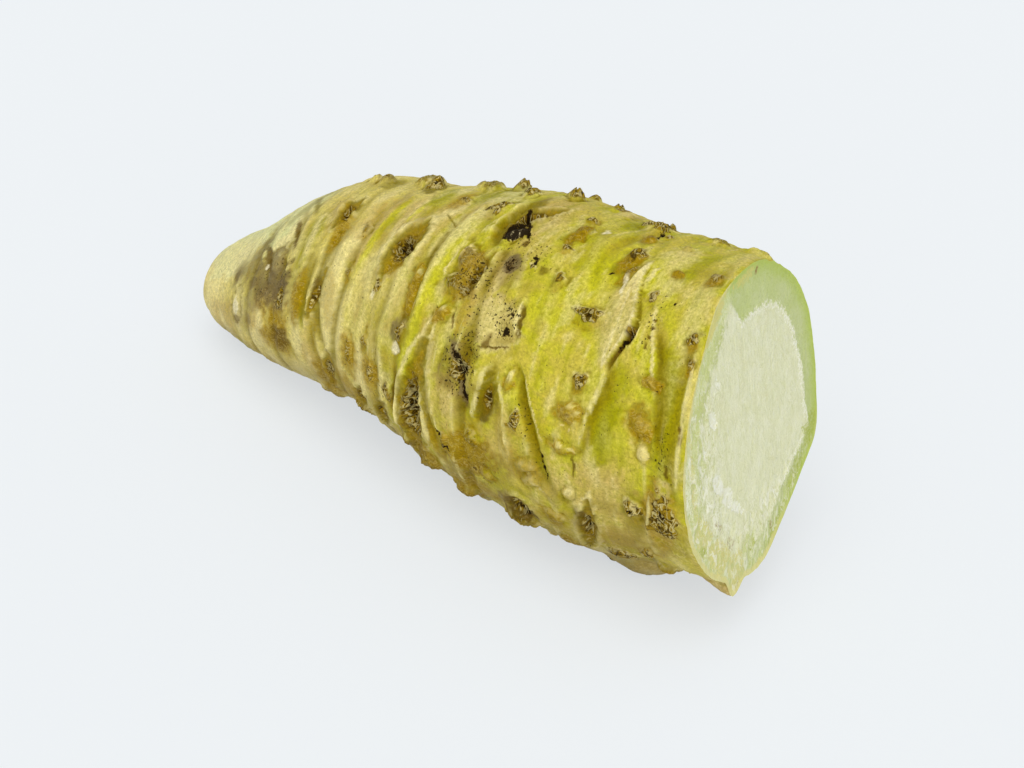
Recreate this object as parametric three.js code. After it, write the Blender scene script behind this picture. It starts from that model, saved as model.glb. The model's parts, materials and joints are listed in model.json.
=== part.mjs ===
// A fresh wasabi root (the rhizome as it is sold): one solid piece, cut flat across its
// thick end, lying on its side. Millimetres, +Z up. The cut end points along +X, and the
// origin is on the table below the middle of the root.
//
// Every place on the skin is given by two numbers: the distance from the cut along the
// root in millimetres, and the angle round it in degrees (0 on top, 90 on the -Y side,
// 180 underneath, 270 on the +Y side).
import * as THREE from 'three';

const DEGREE = Math.PI / 180;

// Driving sizes
const LENGTH = 103.4;                 // from the middle of the cut to the blunt tip
const CUT_YAW = 14.5 * DEGREE;        // the knife ran this far off square, turned to +Y
const CUT_PITCH = 10 * DEGREE;        // and leaned this far back
const STEPS_ALONG = 46;
const STEPS_ROUND = 72;
const CUT_RINGS = 3;                  // rings of faces across the cut
const CUT_CENTRE = new THREE.Vector3(48.32, 0.05, 27.6);   // the middle of the cut

// The root's own form: distance from the cut, radius there, and how far the belly is
// above the table before ridges and knobs are laid on it.
const FORM = [
  { at: 0, radius: 21, belly: 6.5 },
  { at: 10, radius: 21.8, belly: 4 },
  { at: 21, radius: 22.4, belly: 1 },
  { at: 31, radius: 22.5, belly: 0.5 },
  { at: 41, radius: 21.9, belly: 0.5 },
  { at: 52, radius: 19.7, belly: 2 },
  { at: 62, radius: 17.5, belly: 3.5 },
  { at: 72, radius: 16.5, belly: 3 },
  { at: 83, radius: 13.7, belly: 1.8 },
  { at: 93, radius: 9.7, belly: 1.2 },
  { at: 99, radius: 7, belly: 2 },
  { at: 102, radius: 4.2, belly: 4 },
  { at: LENGTH, radius: 0, belly: 8 },
];

// Leaf scars: where each leaf stalk grew, a raised ridge is left that runs part of the
// way round. Each has the places it passes through, its height and its width, and its
// side towards the cut falls away more steeply than its side towards the tip.
const RIDGES = [
  {
    path: [[13.9, 6], [14.6, 20], [13.8, 31], [11.9, 42], [13.3, 54], [14.2, 70], [16, 92]],
    height: 1.3,
    width: 3,
  },
  { path: [[28, 54], [25.6, 70], [23.4, 86], [20.8, 101], [17.4, 116]], height: 1.1, width: 3 },
  { path: [[10, 28], [7.6, 42], [5.6, 60], [4.6, 84], [6, 108]], height: 0.8, width: 2.6 },
  { path: [[40.6, -4], [41, 16], [40.4, 34], [39.8, 56]], height: 1.1, width: 2.6 },
  { path: [[47.2, 16], [46.8, 44], [46.2, 66], [46.8, 92], [48, 112]], height: 1, width: 2.4 },
  { path: [[57, 8], [57.4, 30], [57.8, 56], [57, 84]], height: 0.8, width: 2.4 },
  { path: [[66, 18], [66.4, 46], [64.6, 78], [63.2, 108]], height: 1.1, width: 3 },
  { path: [[72.6, 20], [72.8, 50], [71.6, 84], [70, 116]], height: 0.9, width: 2.6 },
  { path: [[79.6, 30], [78.6, 56], [77.4, 84], [76, 118]], height: 0.8, width: 2.6 },
  { path: [[8, 152], [11, 184], [13, 216], [11, 248]], height: 0.9, width: 2.8 },
  { path: [[22, 196], [26, 226], [27, 258], [24, 288]], height: 1, width: 3 },
  { path: [[15, 262], [18, 292], [18, 322]], height: 0.9, width: 2.8 },
  { path: [[37, 204], [40, 238], [40, 272], [37, 306]], height: 1, width: 2.8 },
  { path: [[50, 158], [53, 194], [54, 232], [52, 270]], height: 1, width: 2.6 },
  { path: [[48, 284], [50, 314], [49, 342]], height: 0.9, width: 2.4 },
  { path: [[62, 176], [64, 214], [65, 252], [63, 292]], height: 0.9, width: 2.4 },
  { path: [[72, 188], [74, 226], [74, 264], [72, 306]], height: 0.8, width: 2.4 },
  { path: [[82, 196], [83, 236], [82, 282]], height: 0.7, width: 2.2 },
];

// Knobs: the crusted stubs of side shoots and rootlets that were broken off.
const KNOBS = [
  { at: 43.2, angle: 9, size: 2, height: 1 },
  { at: 36.8, angle: 19, size: 2, height: 0.9 },
  { at: 41.3, angle: 36, size: 2.2, height: 1.1 },
  { at: 41.1, angle: 46, size: 2, height: 0.9 },
  { at: 18.6, angle: 39, size: 2.4, height: 1 },
  { at: 17.3, angle: 9, size: 1.8, height: 0.7 },
  { at: 17.5, angle: 72, size: 2, height: 0.9 },
  { at: 6.8, angle: 70, size: 2, height: 1 },
  { at: 8, angle: 103, size: 1.9, height: 0.8 },
  { at: 3.8, angle: 103, size: 3.6, height: 0.9 },
  { at: 7.5, angle: 142, size: 1.6, height: 1 },
  { at: 13.5, angle: 137, size: 2.6, height: 0.6 },
  { at: 28, angle: 134, size: 2.6, height: 1.2 },
  { at: 38, angle: 132, size: 2.4, height: 1 },
  { at: 43.5, angle: 126, size: 2.2, height: 1 },
  { at: 48, angle: 72, size: 2, height: 0.8 },
  { at: 67, angle: 138, size: 2.4, height: 1 },
  { at: 62, angle: 350, size: 2.6, height: 1.2 },
  { at: 70, angle: 357, size: 1.6, height: 1 },
  { at: 51, angle: 347, size: 2.4, height: 0.9 },
  { at: 46.5, angle: 344, size: 1.8, height: 1.3 },
  { at: 36.5, angle: 343, size: 2, height: 1.3 },
  { at: 29, angle: 336, size: 2.2, height: 0.4 },
  { at: 20, angle: 340, size: 2.6, height: 0.9 },
  { at: 9.5, angle: 338, size: 2, height: 0.5 },
  { at: 3, angle: 334, size: 2.2, height: 0.9 },
  { at: 24, angle: 212, size: 2.2, height: 1 },
  { at: 33, angle: 246, size: 2.4, height: 1.1 },
  { at: 12, angle: 232, size: 2.4, height: 1.2 },
  { at: 44, angle: 262, size: 2.2, height: 1 },
  { at: 57, angle: 238, size: 2.2, height: 1 },
  { at: 69, angle: 254, size: 2, height: 0.9 },
  { at: 59, angle: 300, size: 2, height: 1 },
  { at: 31, angle: 300, size: 2.4, height: 1.1 },
];

// Pits: where a leaf scar has sunk in or split.
const PITS = [
  { at: 54.3, angle: 38, size: 2.2, depth: 1.6 },
  { at: 44.4, angle: 100, size: 3, depth: 1.8 },
  { at: 37.6, angle: 10, size: 2.2, depth: 1.3 },
  { at: 35.8, angle: 74, size: 2.6, depth: 1 },
  { at: 16.2, angle: 120, size: 2.2, depth: 1.3 },
  { at: 19, angle: 270, size: 2.2, depth: 1.3 },
  { at: 47, angle: 222, size: 2.4, depth: 1.4 },
  { at: 61, angle: 264, size: 2.2, depth: 1.2 },
];

// The three humps underneath that the root rests on. Each is shaped until it just
// reaches the table: two beside each other under the thick part, one near the tip.
const RESTS = [
  { at: 15, angle: 167, size: 8.5, height: 2.88 },
  { at: 34, angle: 196, size: 8, height: 1.1 },
  { at: 87, angle: 180, size: 6, height: 1.5 },
];

// The torn point of rind that the knife left hanging at the foot of the cut.
const RIND_POINT = { at: 0, angle: 158, size: 2.8, height: 2.2 };

// The rim of the cut is out of round: the angle, and how far out the rim stands there.
// It blends into the plain form over RIM_REACH.
const RIM_REACH = 8;
const RIM = [
  [0, 0.8], [25, 1.4], [46, 0.1], [100, 0.9], [160, 0], [185, 0.2], [207, -0.8], [228, 0],
  [242, 1.9], [256, 0.4], [275, -0.4], [320, -0.4], [360, 0.8],
];

// A smooth line through the given places, by cubic pieces that share their slopes.
function smooth(x, xs, ys) {
  let piece = 0;
  while (piece < xs.length - 2 && x > xs[piece + 1]) piece += 1;
  const slope = (i) => {
    const before = i > 0 ? (ys[i] - ys[i - 1]) / (xs[i] - xs[i - 1]) : null;
    const after = i < xs.length - 1 ? (ys[i + 1] - ys[i]) / (xs[i + 1] - xs[i]) : null;
    if (before === null) return after;
    if (after === null) return before;
    const left = xs[i] - xs[i - 1];
    const right = xs[i + 1] - xs[i];
    return (before * right + after * left) / (left + right);
  };
  const step = xs[piece + 1] - xs[piece];
  const t = (x - xs[piece]) / step;
  return (2 * t ** 3 - 3 * t ** 2 + 1) * ys[piece]
    + (t ** 3 - 2 * t ** 2 + t) * step * slope(piece)
    + (3 * t ** 2 - 2 * t ** 3) * ys[piece + 1]
    + (t ** 3 - t ** 2) * step * slope(piece + 1);
}

const places = FORM.map((station) => station.at);
const radii = FORM.map((station) => station.radius);
const axisHeights = FORM.map((station) => station.radius + station.belly);

// The distance round the root, in degrees, from one angle to another (-180 to 180).
function turn(angle, from) {
  return ((angle - from + 540) % 360) - 180;
}

// How far away a spot on the skin is, as a fraction of a knob's or pit's size.
function spread(at, angle, spot) {
  const along = at - spot.at;
  const round = turn(angle, spot.angle) * DEGREE * smooth(spot.at, places, radii);
  return Math.hypot(along, round) / spot.size;
}

// A rounded mound, 1 at its middle and 0 from its rim outwards.
function mound(fraction) {
  return fraction < 1 ? (1 - fraction ** 2) ** 2 : 0;
}

function ridgeHeight(at, angle, ridge) {
  const angles = ridge.path.map((place) => place[1]);
  const first = angles[0];
  const last = angles[angles.length - 1];
  const middle = (first + last) / 2;
  const here = middle + turn(angle, middle);
  if (here <= first || here >= last) return 0;
  const crest = smooth(here, angles, ridge.path.map((place) => place[0]));
  const away = at - crest;                       // positive towards the tip
  const side = away > 0 ? ridge.width * 1.3 : ridge.width * 0.7;
  const fade = Math.min(1, (here - first) / 12, (last - here) / 12);
  return ridge.height * fade * mound(Math.abs(away) / side);
}

// How far out of round the skin is near the cut.
function rimHeight(at, angle) {
  const near = Math.max(0, 1 - at / RIM_REACH);
  const out = smooth(angle, RIM.map((row) => row[0]), RIM.map((row) => row[1]));
  return out * near * near * (3 - 2 * near);
}

// How far the skin stands out from the plain form at a place.
function relief(at, angle) {
  let height = rimHeight(at, angle);
  for (const ridge of RIDGES) height += ridgeHeight(at, angle, ridge);
  for (const knob of KNOBS) height += knob.height * mound(spread(at, angle, knob));
  for (const pit of PITS) height -= pit.depth * mound(spread(at, angle, pit));
  for (const rest of RESTS) height += rest.height * mound(spread(at, angle, rest));
  height += RIND_POINT.height * mound(spread(at, angle, RIND_POINT));
  return height * Math.min(1, (LENGTH - at) / 8);
}

// A place inside or on the root: `out` is 0 on its axis and 1 on its skin. Near the
// thick end the sections lean over until, at the end itself, they lie in the plane
// that the knife cut.
function rootPoint(at, angle, out) {
  const radius = (smooth(at, places, radii) + relief(at, angle)) * out;
  const y = -radius * Math.sin(angle * DEGREE);
  const z = radius * Math.cos(angle * DEGREE);
  const lean = Math.max(0, 1 - at / 96) ** 2;
  const x = -at - lean * (y * Math.tan(CUT_YAW) + z * Math.tan(CUT_PITCH));
  const drop = smooth(at, places, axisHeights) - axisHeights[0];
  return new THREE.Vector3(x, y, z + drop).add(CUT_CENTRE);
}

// The outline that the lathe turns: out across the cut, then along the skin to the tip,
// and reversed so that the faces point out. Its x is `out` and its y is the distance
// from the cut. The skin's places are closer together near the tip, where it curves most.
function turnedOutline() {
  const outline = [];
  for (let ring = 0; ring < CUT_RINGS; ring += 1) {
    outline.push(new THREE.Vector2(ring / CUT_RINGS, 0));
  }
  for (let step = 0; step < STEPS_ALONG; step += 1) {
    const share = step / STEPS_ALONG;
    outline.push(new THREE.Vector2(1, LENGTH * share * (1.45 - 0.45 * share)));
  }
  outline.push(new THREE.Vector2(0, LENGTH));
  return outline.reverse();
}

// A lathe turns the blank, whose points then move to their places on the root.
function rootGeometry() {
  const geometry = new THREE.LatheGeometry(turnedOutline(), STEPS_ROUND);
  const points = geometry.getAttribute('position');
  const rings = CUT_RINGS + STEPS_ALONG + 1;
  const blank = new THREE.Vector3();
  for (let i = 0; i < points.count; i += 1) {
    blank.fromBufferAttribute(points, i);
    const segment = Math.floor(i / rings) % STEPS_ROUND;
    const out = Math.hypot(blank.x, blank.z);
    const place = rootPoint(blank.y, segment * 360 / STEPS_ROUND, out);
    points.setXYZ(i, place.x, place.y, place.z);
  }
  geometry.computeVertexNormals();
  return geometry;
}

const skin = new THREE.MeshStandardMaterial({ color: 0xb4b04a, roughness: 0.6, metalness: 0 });
const root = new THREE.Mesh(rootGeometry(), skin);
root.name = 'wasabi_root';

const group = new THREE.Group();
group.add(root);

export default group;
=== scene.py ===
import json
import math
import random

import bpy
import numpy as np
from mathutils import Matrix, Vector, noise


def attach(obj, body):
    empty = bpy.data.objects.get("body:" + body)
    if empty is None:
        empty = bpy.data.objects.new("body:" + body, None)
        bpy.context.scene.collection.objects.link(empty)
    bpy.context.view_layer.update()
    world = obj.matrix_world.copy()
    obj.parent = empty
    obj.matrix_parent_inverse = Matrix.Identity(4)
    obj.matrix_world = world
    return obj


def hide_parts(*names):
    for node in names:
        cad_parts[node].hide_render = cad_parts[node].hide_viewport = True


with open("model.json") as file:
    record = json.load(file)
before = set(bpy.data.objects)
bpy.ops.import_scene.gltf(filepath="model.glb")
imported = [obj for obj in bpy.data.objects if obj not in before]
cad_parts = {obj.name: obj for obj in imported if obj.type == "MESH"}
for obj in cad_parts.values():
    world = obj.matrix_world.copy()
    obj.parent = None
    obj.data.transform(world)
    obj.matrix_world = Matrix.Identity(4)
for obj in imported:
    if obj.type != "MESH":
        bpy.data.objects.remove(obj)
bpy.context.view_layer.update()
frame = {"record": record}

# --- The root's form -------------------------------------------------------------------
# A wasabi root is one swollen stem, blunt at the tip and cut flat across its thick end.
# Places on it are given as on the solid: millimetres along it from the cut, and degrees
# round it, 0 on top, 90 on the -Y side, 180 underneath and 270 on the +Y side.
MM = 0.001
LENGTH = 103.4
CUT_YAW = math.radians(14.5)
CUT_PITCH = math.radians(10)
LEAN_REACH = 96            # how far from the cut the sections still lean with it
cut_mount = next(m for m in frame["record"]["mounts"] if m["name"] == "cut_face")
CUT_CENTRE = Vector(cut_mount["pos_m"]) / MM

# distance from the cut, radius, height of the belly above the table
FORM = (
    (0, 21, 6.5), (10, 21.8, 4), (21, 22.4, 1), (31, 22.5, 0.5), (41, 21.9, 0.5),
    (52, 19.7, 2), (62, 17.5, 3.5), (72, 16.5, 3), (83, 13.7, 1.8), (93, 9.7, 1.2),
    (99, 7, 2), (102, 4.2, 4), (LENGTH, 0, 8),
)
PLACES = np.array([row[0] for row in FORM], float)
RADII = np.array([row[1] for row in FORM], float)
AXIS_HEIGHTS = np.array([row[1] + row[2] for row in FORM], float)


def smooth(x, xs, ys):
    """A smooth line through the given places, by cubic pieces that share their slopes."""
    xs = np.asarray(xs, float)
    ys = np.asarray(ys, float)
    steps = np.diff(xs)
    rises = np.diff(ys) / steps
    slopes = np.empty(len(xs))
    slopes[0] = rises[0]
    slopes[-1] = rises[-1]
    slopes[1:-1] = (rises[:-1] * steps[1:] + rises[1:] * steps[:-1]) / (steps[:-1] + steps[1:])
    piece = np.clip(np.searchsorted(xs, x, side="right") - 1, 0, len(xs) - 2)
    step = steps[piece]
    t = (x - xs[piece]) / step
    return ((2 * t**3 - 3 * t**2 + 1) * ys[piece] + (t**3 - 2 * t**2 + t) * step * slopes[piece]
            + (3 * t**2 - 2 * t**3) * ys[piece + 1] + (t**3 - t**2) * step * slopes[piece + 1])


def turn_from(angle, start):
    """How far round the root from one angle to another, from -180 to 180 degrees."""
    return (angle - start + 540) % 360 - 180


def ease(low, high, value):
    """0 below low, 1 above high and a soft step between them."""
    t = np.clip((value - low) / (high - low), 0, 1)
    return t * t * (3 - 2 * t)


# --- Leaf scars ------------------------------------------------------------------------
# Each leaf stalk left a ridge part of the way round, with a furrow beside it. A row has
# the places it passes through, its height, its reach towards the tip and towards the
# cut, how cream its crest is, and the side (1 tip, -1 cut) and depth of its furrow.
SCARS = (
    # the thick third
    (((1.3, 118), (0.9, 96), (0.8, 60), (0.9, 20), (1.1, -20)), 0.25, 1.4, 0.9, 0.8, 0, 0),
    (((9.6, 27), (7.9, 38), (6.6, 46), (5.7, 56), (5.0, 68), (4.1, 88)), 0.55, 3.4, 0.5, 0.2, -1, 0.4),
    (((5.4, 90), (5.6, 100), (6.2, 110), (5.0, 121)), 0.6, 1.2, 0.9, 0.8, 0, 0),
    (((13.9, 9), (14.6, 16), (15.0, 23), (14.8, 30)), 0.6, 0.8, 0.7, 0.8, 0, 0),
    (((13.2, 46), (13.6, 54), (14.0, 64), (15.2, 77), (16.3, 94)), 0.7, 2.2, 0.7, 0.8, -1, 0.3),
    (((28.9, 58), (27.2, 66), (25.9, 75), (24.2, 86), (22.4, 97), (20.2, 108), (18.2, 117)),
     0.65, 2.6, 1.1, 0.35, -1, 0.45),
    (((29.4, 60), (29.2, 68), (28.0, 78), (27.0, 90), (25.6, 100), (23.6, 108)), 0.5, 1.3, 1.3, 0.8, 0, 0),
    (((22.5, 88), (21.3, 96), (19.8, 106), (18.4, 116)), 0.35, 0.8, 0.8, 0.5, 0, 0),
    (((19.5, -24), (20.5, -8), (22.5, 8), (23.6, 22)), 0.4, 2.4, 1.6, 0.2, -1, 0.2),
    (((30.4, 62), (31.8, 70), (32.4, 78), (32.8, 86), (32.2, 94)), 0.7, 1.0, 0.9, 0.9, -1, 0.4),
    (((28.8, 40), (29.2, 50), (28.0, 58), (30.6, 61), (34.0, 64)), 0.35, 1.0, 0.7, 0.6, 0, 0),
    # the middle
    (((37.6, -4), (40.2, 4), (41.0, 14), (40.6, 24), (39.6, 32)), 0.95, 2.2, 1.3, 0.6, -1, 0.7),
    (((39.2, 58), (40.4, 68), (40.6, 80), (39.8, 94), (37.2, 108), (33.5, 122)), 0.6, 1.8, 1.5, 0.7, 1, 0.3),
    (((42.6, 76), (42.8, 90), (42.0, 104), (39.8, 118)), 0.5, 1.1, 1.0, 0.9, -1, 0.4),
    (((46.6, 12), (46.9, 30), (46.4, 48), (45.9, 64), (45.6, 78)), 0.5, 1.5, 1.9, 0.3, 1, 0.2),
    (((47.6, 82), (47.3, 94), (47.5, 106), (46.4, 118)), 0.8, 1.1, 1.0, 1.0, 1, 0.4),
    (((51.4, 14), (51.0, 34), (51.2, 56), (51.5, 78), (51.0, 98), (49.5, 116)), 0.3, 1.6, 1.4, 0.5, -1, 0.12),
    (((54.0, 50), (53.6, 66), (53.4, 80), (53.6, 98)), 0.2, 1.2, 1.0, 0.7, 1, 0.1),
    # the tapering half
    (((57.6, 4), (57.2, 22), (57.3, 48), (57.0, 74), (56.6, 100), (55.0, 120)), 0.35, 1.8, 1.5, 0.6, 1, 0.12),
    (((60.6, 8), (60.3, 28), (60.4, 54), (60.4, 84)), 0.2, 1.1, 1.1, 0.1, -1, 0.1),
    (((66.6, 24), (66.0, 44), (65.4, 60), (64.6, 78), (63.4, 98), (62.6, 114)), 0.8, 1.9, 2.4, 1.0, 1, 0.6),
    (((68.6, 48), (68.5, 62), (68.3, 76), (67.4, 90)), 0.4, 0.8, 0.8, 0.7, 1, 0.5),
    (((72.2, 30), (71.9, 50), (71.5, 70), (70.6, 90), (69.4, 110)), 0.35, 1.3, 1.4, 0.4, 1, 0.2),
    (((81.0, 4), (78.4, 18), (76.2, 32), (74.6, 46), (73.4, 60)), 0.5, 1.3, 1.4, 0.7, 1, 0.35),
    (((85.4, 20), (82.6, 34), (80.2, 47), (78.4, 58), (76.6, 70)), 0.4, 1.5, 1.4, 0.6, 1, 0.25),
    (((73.0, 84), (72.2, 98), (71.2, 112), (70.0, 124)), 0.4, 1.2, 1.2, 0.5, 1, 0.3),
    (((80.5, 76), (80.8, 92), (80.2, 110), (78.8, 126)), 0.2, 1.6, 1.6, 0.4, 1, 0.05),
    # round the back and underneath
    (((6.5, 150), (9.0, 180), (11.5, 214), (10.5, 250)), 0.7, 2.6, 1.0, 0.5, -1, 0.4),
    (((20.5, 190), (25.0, 222), (26.5, 256), (24.0, 288), (22.5, 316)), 0.9, 3.0, 1.2, 0.5, -1, 0.5),
    (((14.0, 258), (17.5, 288), (18.0, 318), (16.4, 338)), 0.8, 2.6, 1.1, 0.5, -1, 0.4),
    (((3.8, 228), (5.2, 262), (4.6, 300), (3.4, 330)), 0.5, 2.4, 0.8, 0.3, -1, 0.3),
    (((31.0, 168), (34.5, 206), (36.0, 246), (34.0, 284), (31.5, 318)), 0.7, 2.4, 1.2, 0.5, 1, 0.4),
    (((38.0, 150), (41.0, 188), (42.8, 226), (43.0, 264), (40.5, 302), (38.2, 340)),
     0.8, 2.2, 1.4, 0.7, -1, 0.5),
    (((47.5, 132), (49.2, 168), (50.4, 206), (50.8, 246), (49.0, 290), (47.4, 330)),
     0.7, 1.8, 1.5, 0.6, 1, 0.4),
    (((54.8, 136), (56.4, 174), (57.8, 214), (57.2, 256), (55.8, 300), (55.6, 342)),
     0.7, 1.8, 1.5, 0.7, -1, 0.4),
    (((61.2, 130), (63.0, 168), (64.4, 208), (64.0, 250), (62.6, 296), (61.6, 338)),
     0.75, 2.0, 1.8, 0.8, 1, 0.5),
    (((68.6, 128), (70.4, 170), (71.4, 214), (70.6, 262), (69.0, 308), (68.6, 346)),
     0.6, 1.6, 1.4, 0.6, -1, 0.4),
    (((75.6, 134), (77.4, 178), (78.4, 224), (77.6, 270), (76.0, 318)), 0.55, 1.6, 1.6, 0.6, 1, 0.4),
    (((83.0, 120), (84.2, 168), (84.6, 222), (83.6, 276), (82.4, 326)), 0.5, 1.6, 1.6, 0.6, 1, 0.4),
    (((88.6, 150), (90.2, 190), (90.6, 236), (89.0, 280)), 0.4, 1.4, 1.2, 0.6, 1, 0.3),
)

# Bands of colour that follow the rings: (path, half-width at each end, coat, strength, depth)
BANDS = (
    (((28.1, 58), (26.0, 66), (24.4, 75), (22.6, 86), (21.0, 98), (20.0, 106)),
     0.45, 1.0, "green", 1.0, 0.35),
    (((26.4, 62), (24.0, 72), (22.4, 80), (20.8, 88)), 0.16, 0.25, "cream", 0.8, -0.05),
    (((22.4, 86), (21.5, 92), (20.5, 101)), 0.18, 0.18, "black", 0.8, 0.1),
    (((12.2, 56), (12.4, 68), (13.0, 76), (13.8, 88)), 0.9, 1.5, "green", 0.9, 0.15),
    (((5.6, 36), (4.6, 46), (3.8, 60), (3.2, 76), (2.2, 94)), 1.4, 2.0, "green", 1.0, 0.1),
    (((39.2, -2), (40.4, 6), (40.8, 16), (40.2, 28)), 0.8, 0.8, "yellow", 1.0, 0.0),
    (((38.7, 2), (39.2, 10), (39.3, 20), (38.4, 30)), 0.6, 0.6, "olive", 0.9, 0.2),
    (((47.3, 14), (46.9, 34), (46.4, 60), (46.6, 98)), 0.5, 0.5, "yellow", 0.9, 0.0),
    (((60.7, 8), (60.4, 26), (60.5, 52)), 0.7, 0.5, "yellow", 0.8, 0.0),
    (((55.6, 4), (56.4, 14), (57.2, 30)), 0.6, 0.4, "yellow", 0.7, 0.0),
    (((52.0, 16), (49.6, 20), (47.2, 24)), 0.3, 0.3, "olive", 0.8, 0.25),
    (((69.4, 64), (69.5, 78), (69.0, 92)), 0.7, 0.9, "olive", 0.85, 0.2),
    (((67.3, 36), (67.6, 42), (67.4, 50)), 0.8, 0.6, "olive", 0.95, 0.25),
    (((48.5, 88), (48.6, 98), (48.4, 108)), 0.5, 0.5, "brown", 0.7, 0.2),
    (((39.7, 99), (38.4, 104), (37.0, 108)), 0.35, 0.35, "black", 0.75, 0.3),
    (((18.6, -14), (18.2, -10), (17.6, -5)), 0.35, 0.25, "black", 0.8, 0.2),
    (((1.2, 66), (0.8, 70.5), (0.9, 75)), 0.3, 0.3, "brown", 0.9, 0.25),
    (((3.0, 81), (2.6, 84), (2.4, 87)), 0.35, 0.35, "brown", 0.9, 0.15),
    (((38.8, 61), (37.4, 66), (36.0, 73), (34.9, 79), (33.7, 88)), 1.1, 0.5, "grey", 1.0, 0.15),
    (((37.8, 64), (36.6, 69), (35.6, 75), (34.4, 81), (33.8, 87)), 0.6, 0.35, "black", 0.9, 0.3),
    (((17.4, 108), (16.7, 114), (16.0, 122)), 0.6, 0.8, "brown", 0.7, 0.3),
    (((16.6, 86), (16.4, 92), (16.6, 97)), 0.25, 0.25, "brown", 0.8, 0.05),
    (((14.3, 12), (14.6, 17), (15.2, 22)), 0.3, 0.3, "cream", 0.9, -0.1),
    (((12.4, 11), (12.9, 16), (13.2, 22)), 0.3, 0.3, "cream", 0.9, -0.1),
    (((39.4, 55), (39.1, 58), (38.6, 62)), 0.3, 0.3, "brown", 0.8, 0.2),
    (((28.7, 42), (28.4, 50), (28.0, 57)), 0.35, 0.35, "brown", 1.0, 0.2),
    (((81.4, 2), (79.0, 14), (76.6, 24), (74.2, 34)), 1.1, 0.5, "olive", 0.8, 0.15),
    (((79.2, 29), (77.6, 37), (76.2, 45), (74.6, 56)), 0.6, 0.45, "brown", 0.8, 0.15),
    (((84.2, 42), (81.8, 51), (79.8, 61), (77.0, 70), (74.6, 75)), 0.6, 0.9, "brown", 0.9, 0.15),
    (((70.6, 62), (70.2, 74), (69.4, 86), (68.8, 96)), 0.6, 0.5, "green", 0.8, 0.1),
    (((47.5, 84), (47.5, 94), (47.3, 104), (46.2, 114)), 0.75, 0.5, "cream", 1.0, -0.15),
    (((38.8, 3), (38.0, 8), (36.8, 13), (35.4, 17), (33.4, 23)), 0.45, 0.3, "black", 0.9, 0.3),
    (((44.6, 30), (44.0, 38), (44.4, 46)), 0.25, 0.25, "cream", 0.8, -0.1),
    (((20.0, 76), (18.4, 79), (16.8, 78)), 0.2, 0.2, "cream", 0.9, -0.1),
    (((24.6, 96), (23.6, 100), (22.2, 104), (20.4, 107)), 0.25, 0.25, "cream", 0.9, -0.1),
    (((68.6, 28), (67.9, 38), (67.0, 48)), 0.8, 0.4, "gold", 1.0, 0.2),
    (((67.8, 62), (67.4, 70), (66.4, 79)), 0.4, 0.3, "brown", 0.7, 0.15),
    (((15.0, 31), (15.9, 24), (16.8, 17)), 0.3, 0.45, "white", 0.7, -0.2),
    (((13.4, 30), (14.2, 22), (14.4, 14)), 0.3, 0.35, "cream", 0.9, -0.15),
    (((10.2, 24), (8.4, 38), (6.6, 52), (5.2, 64)), 0.3, 0.3, "cream", 0.8, -0.1),
    (((29.2, 41), (29.0, 50), (28.7, 57)), 0.25, 0.25, "cream", 0.9, -0.1),
    (((28.2, 58.5), (31.0, 61), (34.5, 64)), 0.4, 0.4, "brown", 1.0, 0.2),
    (((81.0, 50), (81.6, 55), (81.4, 60)), 0.3, 0.3, "brown", 0.6, 0.1),
    (((77.4, 34), (77.6, 37), (77.4, 40)), 0.3, 0.3, "brown", 0.7, 0.1),
)

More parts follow.
